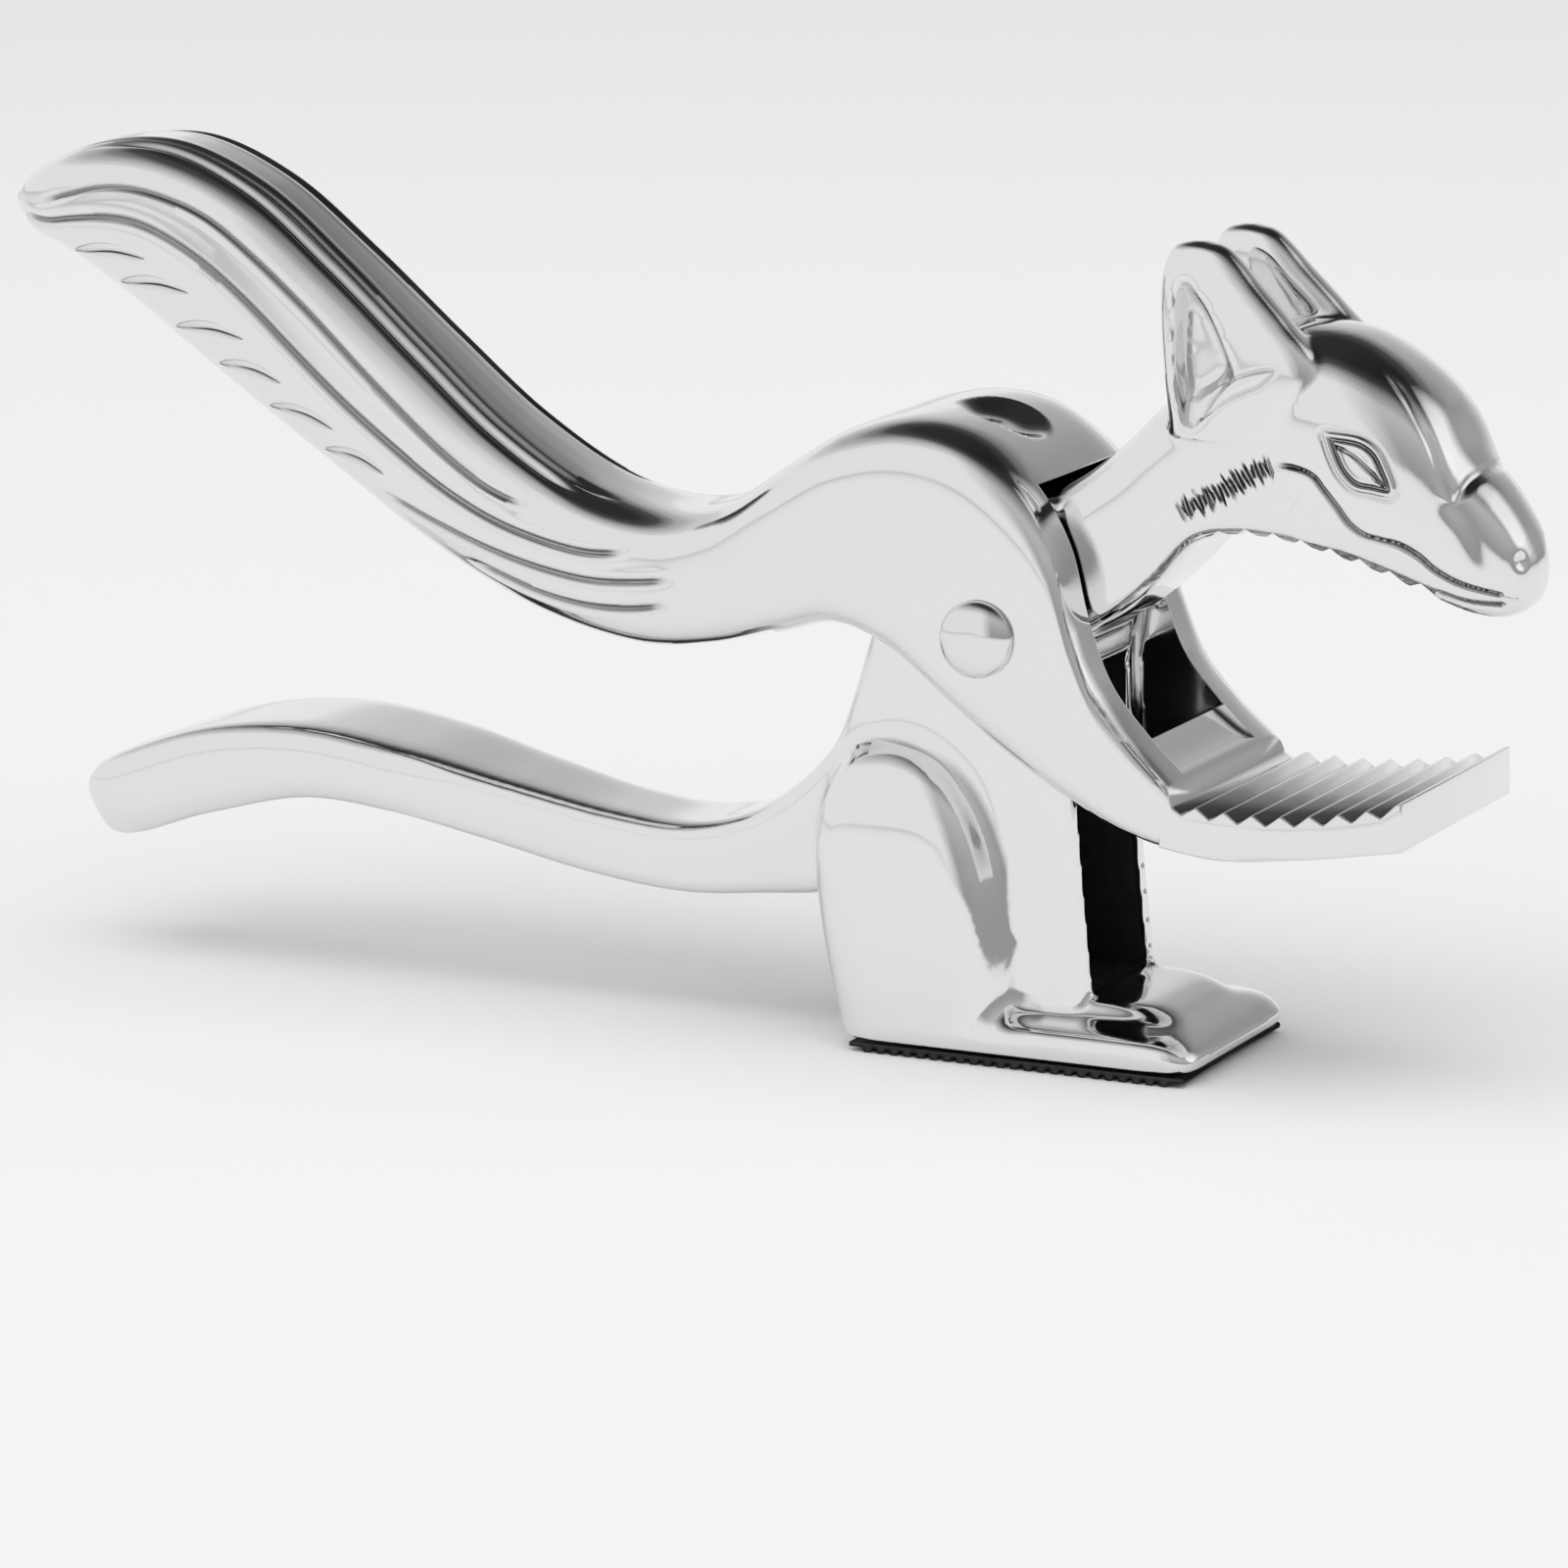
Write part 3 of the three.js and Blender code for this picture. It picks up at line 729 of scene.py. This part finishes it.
def feather(lever, ends, side, wide, deep):
    """A cutter for one feather: a slim spindle with a sharp keel, sunk in the lever's flank."""
    a, b = np.array(ends)
    spine = curve([a, (a + b) / 2 + [0, FEATHER_ARCH], b], 31)
    along = np.linspace(0, 1, len(spine))
    heading = np.gradient(spine, axis=0)
    heading /= np.linalg.norm(heading, axis=1, keepdims=True)
    upward = np.column_stack([-heading[:, 1], heading[:, 0]])
    size = np.maximum(np.sin(math.pi * along) ** 0.6, 0.05)
    face = []
    for x, z in spine:
        hit, spot, _, _ = lever.ray_cast(Vector((x, side * 30, z)) * MM, Vector((0, -side, 0)))
        face.append(spot.y / MM if hit else np.nan)
    face = fill(np.array(face))
    rings = []
    for c, u, k, y in zip(spine, upward, size, face):
        ring = []
        for across, out in ((0, -deep * k), (1, 0.05), (1.2, 1.5), (-1.2, 1.5), (-1, 0.05)):
            x, z = c + u * across * wide * k
            ring.append((x, y + out * side, z))
        rings.append(ring)
    return skin("feather", np.array(rings))


def thumb_hollow(x, y, z):
    """A shallow oval dish in the back, over the rivet."""
    r = np.hypot((x - THUMB_X) / THUMB_LONG, y / THUMB_WIDE)
    return np.where(z > 55, THUMB_DEPTH * np.clip(1 - r**4, 0, 1) ** 1.4, 0)


def paw_top(x):
    """Height of the paw plate's tooth tips."""
    return 29.5 + 0.0088 * (x - 25) ** 2


def paw_plate():
    """The toothed plate that carries the nut, its edges softened by plating."""
    under = curve([(16.5, 25.2), (22.6, 24.5), (31.0, 25.3), (PAW_FRONT + 0.1, 27.2)], 30)
    teeth = [(PAW_FRONT, paw_top(PAW_FRONT))]
    first_tip = PAW_FRONT - 0.7
    for i in range(TEETH):
        tip = first_tip - i * TOOTH_PITCH
        dip = tip - TOOTH_PITCH / 2
        teeth += [(tip, paw_top(tip)), (dip, paw_top(dip) - TOOTH_DEPTH)]
    shape = np.vstack([under, teeth, [(16.5, 30.4)]])
    paws = plate("paws", shape, -PAW_HALF, PAW_HALF)
    soft = paws.modifiers.new("edges", "BEVEL")
    soft.width = 0.22 * MM
    soft.segments = 3
    soft.limit_method = "ANGLE"
    soft.angle_limit = math.radians(25)
    settle(paws)
    p = points_of(paws)
    p[:, 1] *= (CHEEK_OUT + (PAW_HALF - CHEEK_OUT) * step(20, 28, p[:, 0])) / PAW_HALF
    move_points(paws, p)
    return paws


def tail_lever():
    """Tail, back, cheeks and paws: the moving casting."""
    slot = outline(
        [(-26, 34), (-22.6, 43.2)],
        [(-21.6, 47.2), (-19.2, 51.4), (-15, 55.8), (-9.5, 59), (-3.5, 60)],
        [(3, 60), (9, 62)],
        [(24, 62), (24, 40)],
        [(20, 31.5), (16, 32), (12.2, 34.4)],
        [(10.4, 33.4), (9, 24)],
    )
    core = []
    for tx, tz, bx, bz, half, square in LEVER[2:12]:
        reach = math.hypot(tx - bx, tz - bz)
        ux, uz = (tx - bx) / reach, (tz - bz) / reach
        roof = [tx - ux * CORE_DEPTH, tz - uz * CORE_DEPTH]
        mouth = [bx - ux * CORE_REACH, bz - uz * CORE_REACH]
        core.append([*roof, *mouth, half - WALL, square])
    lever = fluted_tail()
    cut(lever, plate("slot", slot, -CHEEK_IN, CHEEK_IN))
    join(lever, paw_plate())
    cut(lever, loft("core", core, 70, 36), bar("bore", BORE_IN_CHEEKS, CHEEK_OUT + 1))
    for start, end in FEATHERS:
        keel_start = (start[0] + KEEL_DELAY, start[1])
        for side in (-1, 1):
            blade = feather(lever, [start, end], side, *FEATHER_BLADE)
            keel = feather(lever, [keel_start, end], side, *FEATHER_KEEL)
            cut(lever, blade, keel)
    lever.name = "tail_and_paws"
    smooth_faces(lever, angle=32)
    return lever


# ---------------------------------------------------------------------------------------------------- body

EAR_HOLLOW = outline(
    [(16.8, 67.2), (15.7, 71.0), (15.4, 76.0), (15.6, 81.2)],
    [(16.6, 81.4), (18.6, 79.0), (20.4, 75.6), (21.6, 72.6)],
    [(20.0, 70.6), (17.8, 67.6)],
)
EAR_LEVELS = ((4.0, 1.2), (2.4, 1.08), (1.6, 1.0), (0.1, 0.72))  # the hollow: height over the ear, scale
EAR_LEAN_IN, EAR_LEAN_BACK = 1.0, 0.4
JAW_EDGE = np.array([
    (17.0, 54.9), (20.9, 56.0), (23.2, 56.2), (25.8, 56.0), (29.4, 55.5), (33.7, 54.5), (37.6, 53.2),
    (40.5, 52.2), (44.0, 50.6), (52.0, 48.0),
])
JAW_START, JAW_RISE = 18.4, 1.1  # where the first gap between the teeth starts, and how high each one goes

VOXEL_MM = 0.3
JOIN_ROUNDS, FOLD_ROUNDS, THIGH_ROUNDS = 8, 36, 70  # rounds of relaxing
CHEST_HALF = 7.6
CHEST_FLOOR = 7.2
CHEST_ROOF = 40.4
CHEST_LIP = 1.0
CHEST_SKIM = 0.12  # the second, shallow cut whose faces are finished black, as painted shade inside the chest
ON_PLANE = 0.01
HAUNCH_EDGE = curve([
    (-18.0, 32.6), (-13.4, 32.4), (-8.2, 29.0), (-5.4, 24.6), (-3.6, 19.6), (-2.4, 13.6), (-1.4, 7.0),
    (-1.0, 1.0),
], 40)

EYE = curve([
    (31.7, 67.6), (35.4, 67.2), (36.9, 66.3), (37.9, 64.7), (38.7, 62.0), (36.6, 62.1), (34.9, 62.4),
    (33.5, 63.6), (32.5, 65.4), (31.7, 67.6),
], 60)
EYE_LINE = curve([(32.9, 66.4), (35.0, 65.4), (36.6, 64.0), (38.0, 62.6)], 20)
CHEEK_CREASE = curve([
    (25.8, 64.0), (28.4, 63.9), (30.5, 63.2), (31.7, 61.9), (33.1, 60.3), (34.4, 58.7), (35.9, 57.7),
    (37.6, 57.3), (39.5, 56.9), (41.4, 55.8), (42.8, 54.5), (45.0, 53.1), (48.6, 51.9),
], 90)
FUR = curve([(15.6, 58.2), (18.1, 59.5), (20.9, 61.0), (23.6, 62.8), (26.4, 64.1)], 30)
LEAF = curve([
    (18.4, 68.2), (19.9, 70.8), (22.4, 72.6), (26.2, 73.5), (24.9, 72.0), (21.9, 70.5), (18.4, 68.2),
], 40)
CHIN_SLIT = curve([(43.0, 51.6), (45.4, 50.9), (48.6, 50.6)], 20)
# Creases of the nose in space: x, distance from the middle, z.
BRIDGE_EDGE = curve([
    (35.6, 5.4, 74.4), (36.6, 5.8, 73.4), (38.3, 6.3, 71.7), (40.2, 7.0, 69.0), (41.9, 7.4, 66.5),
    (43.0, 7.5, 63.4), (44.2, 7.2, 61.0),
], 60)
MUZZLE_EDGE = curve([
    (44.2, 7.2, 61.0), (45.5, 6.7, 59.3), (46.3, 6.4, 57.4), (47.0, 6.1, 55.0), (47.5, 5.5, 52.8),
], 40)
BROW_NOTCH = curve([(44.4, 7.1, 61.0), (45.1, 5.0, 62.9), (45.6, 3.0, 63.6), (45.8, 0.0, 63.9)], 30)
NOSTRIL = [50.3, 3.8, 55.2]


def ear(side):
    """One ear: a rolled rim round a hollow with sloping walls."""
    form = loft("ear", EAR, 60, 48, side * EAR_Y)
    n = len(EAR_HOLLOW)
    middle = EAR_HOLLOW.mean(0)
    rings = []
    for out, scale in EAR_LEVELS:
        shape = middle + (EAR_HOLLOW - middle) * scale
        rings.append(np.column_stack([shape[:, 0], np.full(n, side * (EAR_Y + out)), shape[:, 1]]))
    cut(form, skin("hollow", np.array(rings)))
    p = points_of(form)
    lean = step(70, 86, p[:, 2])
    p[:, 1] -= side * EAR_LEAN_IN * lean
    p[:, 0] -= EAR_LEAN_BACK * lean
    move_points(form, p)
    return form


def jaw_cut(i):
    """The space between two teeth of the upper jaw."""
    x = JAW_START + i * TOOTH_PITCH
    a, b, c = [np.interp(x + k * TOOTH_PITCH, JAW_EDGE[:, 0], JAW_EDGE[:, 1]) for k in (0, 0.5, 1)]
    below = [(x, a - 4), (x + TOOTH_PITCH, c - 4)]
    notch = [(x + TOOTH_PITCH, c), (x + TOOTH_PITCH / 2, b + JAW_RISE), (x, a)]
    return plate("jaw_cut", np.array(below + notch), -12, 12)


def handle_core():
    """The hollow under the lower handle, which stops short of the torso."""
    sections = []
    for tx, tz, bx, bz, half, square in HANDLE[1:10]:
        sections.append([tx, tz - WALL, bx, bz - CORE_REACH, half - WALL, square])
    core = loft("core", sections, 60, 36)
    stop = np.array([(-24, 0), (0, 0), (0, 60), (-24, 60)], float)
    return cut(core, plate("stop", stop, -THROUGH, THROUGH))


def body_casting():
    """Head, torso, haunches, foot and lower handle: the casting that stands on the pad."""
    body = loft("body_skin", TORSO, 60, 64)
    shoulders = bar("shoulders", TORSO_TOP_R, TORSO_HALF)
    front = np.array([(2, 0), (30, 0), (30, 90), (2, 90)], float)
    under = np.array([(-30, 0), (30, 0), (30, 40), (-30, 40)], float)
    cut(shoulders, plate("front", front, -THROUGH, THROUGH))
    cut(shoulders, plate("under", under, -THROUGH, THROUGH))
    join(body, shoulders, loft("haunches", HAUNCHES, 60, 72), loft("foot", FOOT, 40, 96))
    join(body, cut(loft("handle", HANDLE, 150, 56), handle_core()))
    cut(body, plate("chest", chest_outline(6, 0), -CHEST_HALF, CHEST_HALF))
    join(body, loft("head", NECK_AND_HEAD, 120, 72), ear(-1), ear(1), bar("boss", BOSS_R, BOSS_HALF))
    cut(body, bar("bore", BORE_IN_TORSO, BOSS_HALF + 3))
    remesh(body, VOXEL_MM)
    relax(body, JOIN_ROUNDS)

    p = points_of(body)
    x, y, z = p.T
    fold = near_path(HAUNCH_EDGE, x, z)[0]
    share = (1 - step(1.6, 3.0, fold)) * step(8.4, 9.0, np.abs(y))
    share = share * (1 - step(11.0, 12.4, np.abs(y))) * step(3.0, 5.0, z)
    relax(body, FOLD_ROUNDS, share)
    x, y, z = points_of(body).T
    thigh = step(8.2, 9.0, np.abs(y)) * (1 - step(34, 38, z)) * step(2.6, 4.6, z) * (1 - step(0.0, 2.0, x))
    relax(body, THIGH_ROUNDS, thigh)
    face_detail(body)
    cut(body, *[jaw_cut(i) for i in range(TEETH)])
    # The skim cut: its faces later get the black finish that paints in the chest's shade.
    lined = CHEST_HALF + CHEST_SKIM
    cut(body, plate("chest_painted_shade", chest_outline(-CHEST_LIP, CHEST_SKIM), -lined, lined))
    body.name = "body_casting_visual"
    smooth_faces(body, angle=62)
    return body


def chest_outline(ahead, skim):
    """The cored chest's side view: its mouth ahead of the torso's front, its walls moved out by skim."""
    low, high = 6.6 + ahead, 4.0 + ahead
    floor, roof = CHEST_FLOOR - skim, CHEST_ROOF + skim
    mouth = [(high, 30), (low, floor)]
    back = [(-12 - skim, 28), (-6 - skim, 36 + skim)]
    return outline(mouth, [(-11 - skim, floor)], back, [(-1, roof), (high, roof)])


def paint_chest_shade(body, look):
    """Paints shade into the cored chest: the faces that the skim cut made get their own near-black finish,
    standing in for the shade there.
    """
    body.data.materials.append(look)
    index = len(body.data.materials) - 1
    made = chest_outline(-CHEST_LIP, CHEST_SKIM)
    made = np.vstack([made, made[:1]])
    faces = body.data.polygons
    centre = np.empty(len(faces) * 3, np.float32)
    faces.foreach_get("center", centre)
    x, y, z = centre.reshape(-1, 3).T / MM
    within = inside(made, x, z)
    wall = within & (np.abs(np.abs(y) - CHEST_HALF - CHEST_SKIM) < ON_PLANE)
    back = (near_path(made, x, z)[0] < ON_PLANE) & (np.abs(y) < CHEST_HALF + CHEST_SKIM)
    for k in np.nonzero(wall | back)[0]:
        faces[int(k)].material_index = index


def face_detail(body):
    """Eyes, brow, muzzle, cheek crease, fur and nostrils, pressed into the head."""
    p = points_of(body)
    refine(body, (p[:, 0] > 13.0) & (p[:, 2] > 49) & (np.abs(p[:, 1]) > 2.0))
    x, y, z = points_of(body).T
    relax(body, 3, ((x > 13) & (z > 49) & (z < 76)) * 1.0)
    relax(body, 14, step(66, 68, z) * step(4.6, 5.6, np.abs(y)) * (1 - step(86.5, 88, z)) * (x < 31))
    x, y, z = points_of(body).T
    on_side = np.abs(y) > 6.5
    fur_band = near_path(FUR, x, z)[0] < 2.4
    eye_field = np.hypot((x - 35.2) / 4.6, (z - 64.8) / 4.0) < 1
    refine(body, on_side & (fur_band | eye_field))
    p = points_of(body)
    n = normals_of(body)
    part = np.nonzero((p[:, 0] > 13.5) & (p[:, 2] > 49.5) & (p[:, 2] < 76))[0]
    x, y, z = p[part].T
    across = np.abs(y)
    folded = np.column_stack([x, across, z])
    flank = step(0.35, 0.7, np.abs(n[part, 1]))
    press = np.zeros(len(part))

    away, _, _ = near_path(EYE, x, z)
    signed = np.where(inside(EYE, x, z), -away, away)
    eye = 0.2 * bell(signed + 0.05, 0.22) - 0.21 * bell(signed + 0.5, 0.18)
    eye += 0.14 * bell(signed + 0.9, 0.2) - 0.1 * bell(signed - 0.45, 0.2)
    lash = near_path(EYE_LINE, x, z)[0]
    eye -= 0.3 * bell(lash, 0.22) * (signed < -0.8)
    eye += 0.16 * step(0.9, 2.0, -signed)
    press -= flank * eye * (across > 5)

    away, along, side = near_path(CHEEK_CREASE, x, z)
    press += flank * step(0.0, 0.1, along) * 0.6 * bell(away, 0.26) * (across > 1.5)
    below = np.where(side < 0, away, 0)
    dip = flank * step(0.0, 0.3, along) * 0.25 * step(0.0, 0.4, below)
    press += dip * (1 - step(3.0, 6.0, below)) * (across > 3)

    away, along, side = near_path(FUR, x, z)
    lean = 0.5 * np.sin(along * 37) + 0.4 * np.sin(along * 91 + 1)
    strokes = 0.5 + 0.5 * np.cos(2 * math.pi * (along * 24 + lean * away * side * 0.4))
    reach = 1.25 + 0.45 * np.sin(along * 61) + 0.35 * np.sin(along * 143)
    window = (1 - step(0.4 * reach, reach, away)) * step(0, 0.08, along) * (1 - step(0.92, 1, along))
    press += flank * 0.34 * strokes * window * (across > 5)

    away, along = near_line(BRIDGE_EDGE, folded)
    bridge = step(0.0, 0.25, along) * 0.3 * bell(away, 0.6)
    away, along = near_line(MUZZLE_EDGE, folded)
    bridge = np.maximum(bridge, (1 - step(0.3, 1.0, along)) * 0.32 * bell(away, 1.1))
    away, along = near_line(BROW_NOTCH, folded)
    press += np.maximum(bridge, 0.34 * bell(away, 0.6))
    away, _, _ = near_path(LEAF, x, z)
    filled = np.where(inside(LEAF, x, z), away, 0)
    press += flank * (0.2 * bell(away, 0.22) - 0.15 * step(0, 0.8, filled)) * (across > 4)
    away, _, _ = near_path(CHIN_SLIT, x, z)
    press += flank * 0.55 * bell(away, 0.3) * (across > 1.5)
    dent = np.linalg.norm(folded - NOSTRIL, axis=1)
    press += 0.36 * bell(dent, 0.75)

    p[part] -= n[part] * press[:, None]
    move_points(body, p)


# ------------------------------------------------------------------------------------------- rivet and pad


def rivet():
    """A domed head at each end of a plain shank, turned about the hinge axis."""
    low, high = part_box("pivot_rivet")
    head_r = (high.z - low.z) / 2 / MM
    end = high.y / MM
    base = CHEEK_OUT + 0.15
    rim = 0.2  # height of the head's edge, under the dome
    rise = end - base
    profile = []
    for a in np.linspace(0, math.pi / 2, 34):
        r = math.sin(a)
        profile.append((head_r * r, base + rim + (rise - rim) * (1 - r**2.3) ** 0.6))
    profile += [(head_r, base + 0.1), (head_r - 0.06, base + 0.02), (head_r - 0.2, base)]
    profile += [(SHANK_R, base), (SHANK_R, base - 0.4)]
    half = np.array(profile)
    whole = np.vstack([half, half[::-1] * [1, -1]])[1:-1]
    sides = 144
    a = np.arange(sides) * 2 * math.pi / sides
    rings = []
    for r, y in whole:
        rings.append(np.column_stack([PIVOT_X + r * np.cos(a), np.full(sides, y), PIVOT_Z + r * np.sin(a)]))
    pin = skin("rivet_domed", np.array(rings))
    p = points_of(pin)
    p[-2:, 1] = [end, -end]
    move_points(pin, p)
    smooth_faces(pin, angle=50)
    return pin


def foot_pad():
    """A moulded pad with rounded ribs across its underside and a small chamfer round its top."""
    _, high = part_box("foot_pad")
    reach, half, top = high.x / MM, high.y / MM, high.z / MM
    pitch, rib, ribs = 1.5, 0.5, 11
    x = np.linspace(-reach, reach, 520)
    nearest = np.abs(x / pitch - np.round(x / pitch)) * pitch
    inside_ribs = np.abs(x) < (ribs + 0.5) * pitch
    height = np.where(inside_ribs, rib * step(0.32, 0.52, nearest), rib)
    edge, soft = 0.2, 0.06
    near_rows = [(-half + edge, 0), (-half + soft, soft), (-half, edge)]
    y_rows = near_rows + [(half, edge), (half - soft, soft), (half - edge, 0)]
    rings = []
    for k, (xx, low_z) in enumerate(zip(x, height)):
        end = min(k, len(x) - 1 - k)
        shrink = edge * (1 - min(end * (x[1] - x[0]) / edge, 1)) ** 2
        ring = []
        for y, drop in y_rows:
            ring.append((xx, math.copysign(abs(y) - shrink, y), top - drop - shrink * 0.5))
        for y, lift in reversed(y_rows):
            ring.append((xx, math.copysign(abs(y) - shrink, y), low_z + lift * 0.5))
        rings.append(ring)
    pad = skin("pad_ribbed", np.array(rings))
    smooth_faces(pad, angle=40)
    return pad


# ---------------------------------------------------------------------------------------------- the object

dress = {
    "tail_lever_casting": (tail_lever, "lever", "lever_chrome", chrome("lever_plate")),
    "body_casting": (body_casting, "body", "body_chrome", chrome("body_plate", edge_mm=0)),
    "pivot_rivet": (rivet, "lever", "rivet_chrome", chrome("rivet_plate", 0.8, 0.07, 0.08)),
    "foot_pad": (foot_pad, "body", "pad_rubber", rubber("pad_rubber_black")),
}
for node, (make, body_name, slot_name, look) in dress.items():
    piece = make()
    piece.data.materials.clear()
    piece.data.materials.append(look)
    # The cored chest gets painted shade: a black finish on the skim cut's faces.
    if make is body_casting:
        paint_chest_shade(piece, painted_chest_shade("chest_painted_shade"))
    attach(piece, body_name)
    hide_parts(node)

# -------------------------------------------------------------------------------------------------- studio

AZIMUTH, ELEVATION = math.radians(25.5), math.radians(12.3)
DISTANCE = 0.81
LENS_MM, SENSOR_MM = 177.8, 36
target = Vector((-0.03228, 0, 0.024185))
back = Vector((
    math.sin(AZIMUTH) * math.cos(ELEVATION),
    -math.cos(AZIMUTH) * math.cos(ELEVATION),
    math.sin(ELEVATION),
))
camera_data = bpy.data.cameras.new("camera")
camera_data.lens = LENS_MM
camera_data.sensor_width = SENSOR_MM
camera = bpy.data.objects.new("camera", camera_data)
camera.location = target + back * DISTANCE
camera.rotation_euler = (-back).to_track_quat("-Z", "Y").to_euler()
bpy.context.collection.objects.link(camera)
bpy.context.scene.camera = camera
bpy.context.scene.view_settings.view_transform = "Standard"

FLOOR_REACH = 12
floor_mesh = bpy.data.meshes.new("floor")
corners = [(x * FLOOR_REACH, y * FLOOR_REACH, 0) for x, y in ((-1, -1), (1, -1), (1, 1), (-1, 1))]
floor_mesh.from_pydata(corners, [], [(0, 1, 2, 3)])
floor = bpy.data.objects.new("floor", floor_mesh)
floor_look, _, floor_shader = material("floor_pale", (0.92, 0.92, 0.92), 0.0, 0.6)
floor_shader.inputs["Specular IOR Level"].default_value = 0.0
floor_mesh.materials.append(floor_look)
bpy.context.collection.objects.link(floor)


def lamp(name, kind, place, aim, power, size):
    """A soft lamp that lights the scene without showing in the chrome."""
    data = bpy.data.lights.new(name, kind)
    data.energy = power
    if kind == "SUN":
        data.angle = size
    else:
        data.shape = "DISK"
        data.size = size
    light = bpy.data.objects.new(name, data)
    light.location = place
    light.rotation_euler = (Vector(aim) - Vector(place)).to_track_quat("-Z", "Y").to_euler()
    light.visible_glossy = False
    bpy.context.collection.objects.link(light)


lamp("overhead", "AREA", (0.1, -0.25, 1.6), (-0.02, 0, 0.03), 13, 2.2)
lamp("bounce", "SUN", (0, -0.3, 2), (0, 0, 0), 0.78, math.radians(120))

# Brightness of the studio walls by height, 0 at the horizon and 1 overhead.
WALL_LEVELS = [(0.0, 0.89), (0.48, 0.88), (0.60, 0.68), (0.74, 0.46), (0.82, 0.24), (0.89, 0.07), (1.0, 0.03)]
BACK_SHARE = 0.35  # how much lower the dark reaches behind the object
PANEL_TOWARD = (0.70, 0.55, 0.45)
PANEL_LIGHT = 0.65


def studio_walls():
    """White low down, dark overhead, grey on the right, with one bright panel at the far right."""
    world = bpy.data.worlds.new("studio")
    world.use_nodes = True
    bpy.context.scene.world = world
    tree = world.node_tree
    place = tree.nodes.new("ShaderNodeTexCoord")
    split = tree.nodes.new("ShaderNodeSeparateXYZ")
    tree.links.new(place.outputs["Generated"], split.inputs["Vector"])
    behind = arithmetic(tree, "MULTIPLY", split.outputs["Y"], BACK_SHARE)
    height = arithmetic(tree, "ADD", split.outputs["Z"], behind)
    walls = tree.nodes.new("ShaderNodeValToRGB")
    tree.links.new(height, walls.inputs["Fac"])
    walls.color_ramp.interpolation = "EASE"
    for spot, (where, value) in enumerate(WALL_LEVELS):
        element = walls.color_ramp.elements[spot] if spot < 2 else walls.color_ramp.elements.new(where)
        element.position = where
        element.color = (value, value, value, 1)
    to_right = remap(tree, split.outputs["X"], -0.05, 0.30, 0.0, 1.0)
    grey = remap(tree, split.outputs["Z"], 0.0, 0.6, 0.62, 0.38)
    card = arithmetic(tree, "SUBTRACT", 1.0, arithmetic(tree, "MULTIPLY", to_right, grey))
    shaded = tree.nodes.new("ShaderNodeVectorMath")
    shaded.operation = "SCALE"
    tree.links.new(walls.outputs["Color"], shaded.inputs["Vector"])
    tree.links.new(card, shaded.inputs["Scale"])
    toward_panel = tree.nodes.new("ShaderNodeVectorMath")
    toward_panel.operation = "DOT_PRODUCT"
    tree.links.new(place.outputs["Generated"], toward_panel.inputs[0])
    toward_panel.inputs[1].default_value = PANEL_TOWARD
    panel = remap(tree, toward_panel.outputs["Value"], 0.90, 0.97, 0.0, PANEL_LIGHT)
    lit = tree.nodes.new("ShaderNodeVectorMath")
    tree.links.new(shaded.outputs["Vector"], lit.inputs[0])
    tree.links.new(panel, lit.inputs[1])
    tree.links.new(lit.outputs["Vector"], tree.nodes["Background"].inputs["Color"])


studio_walls()
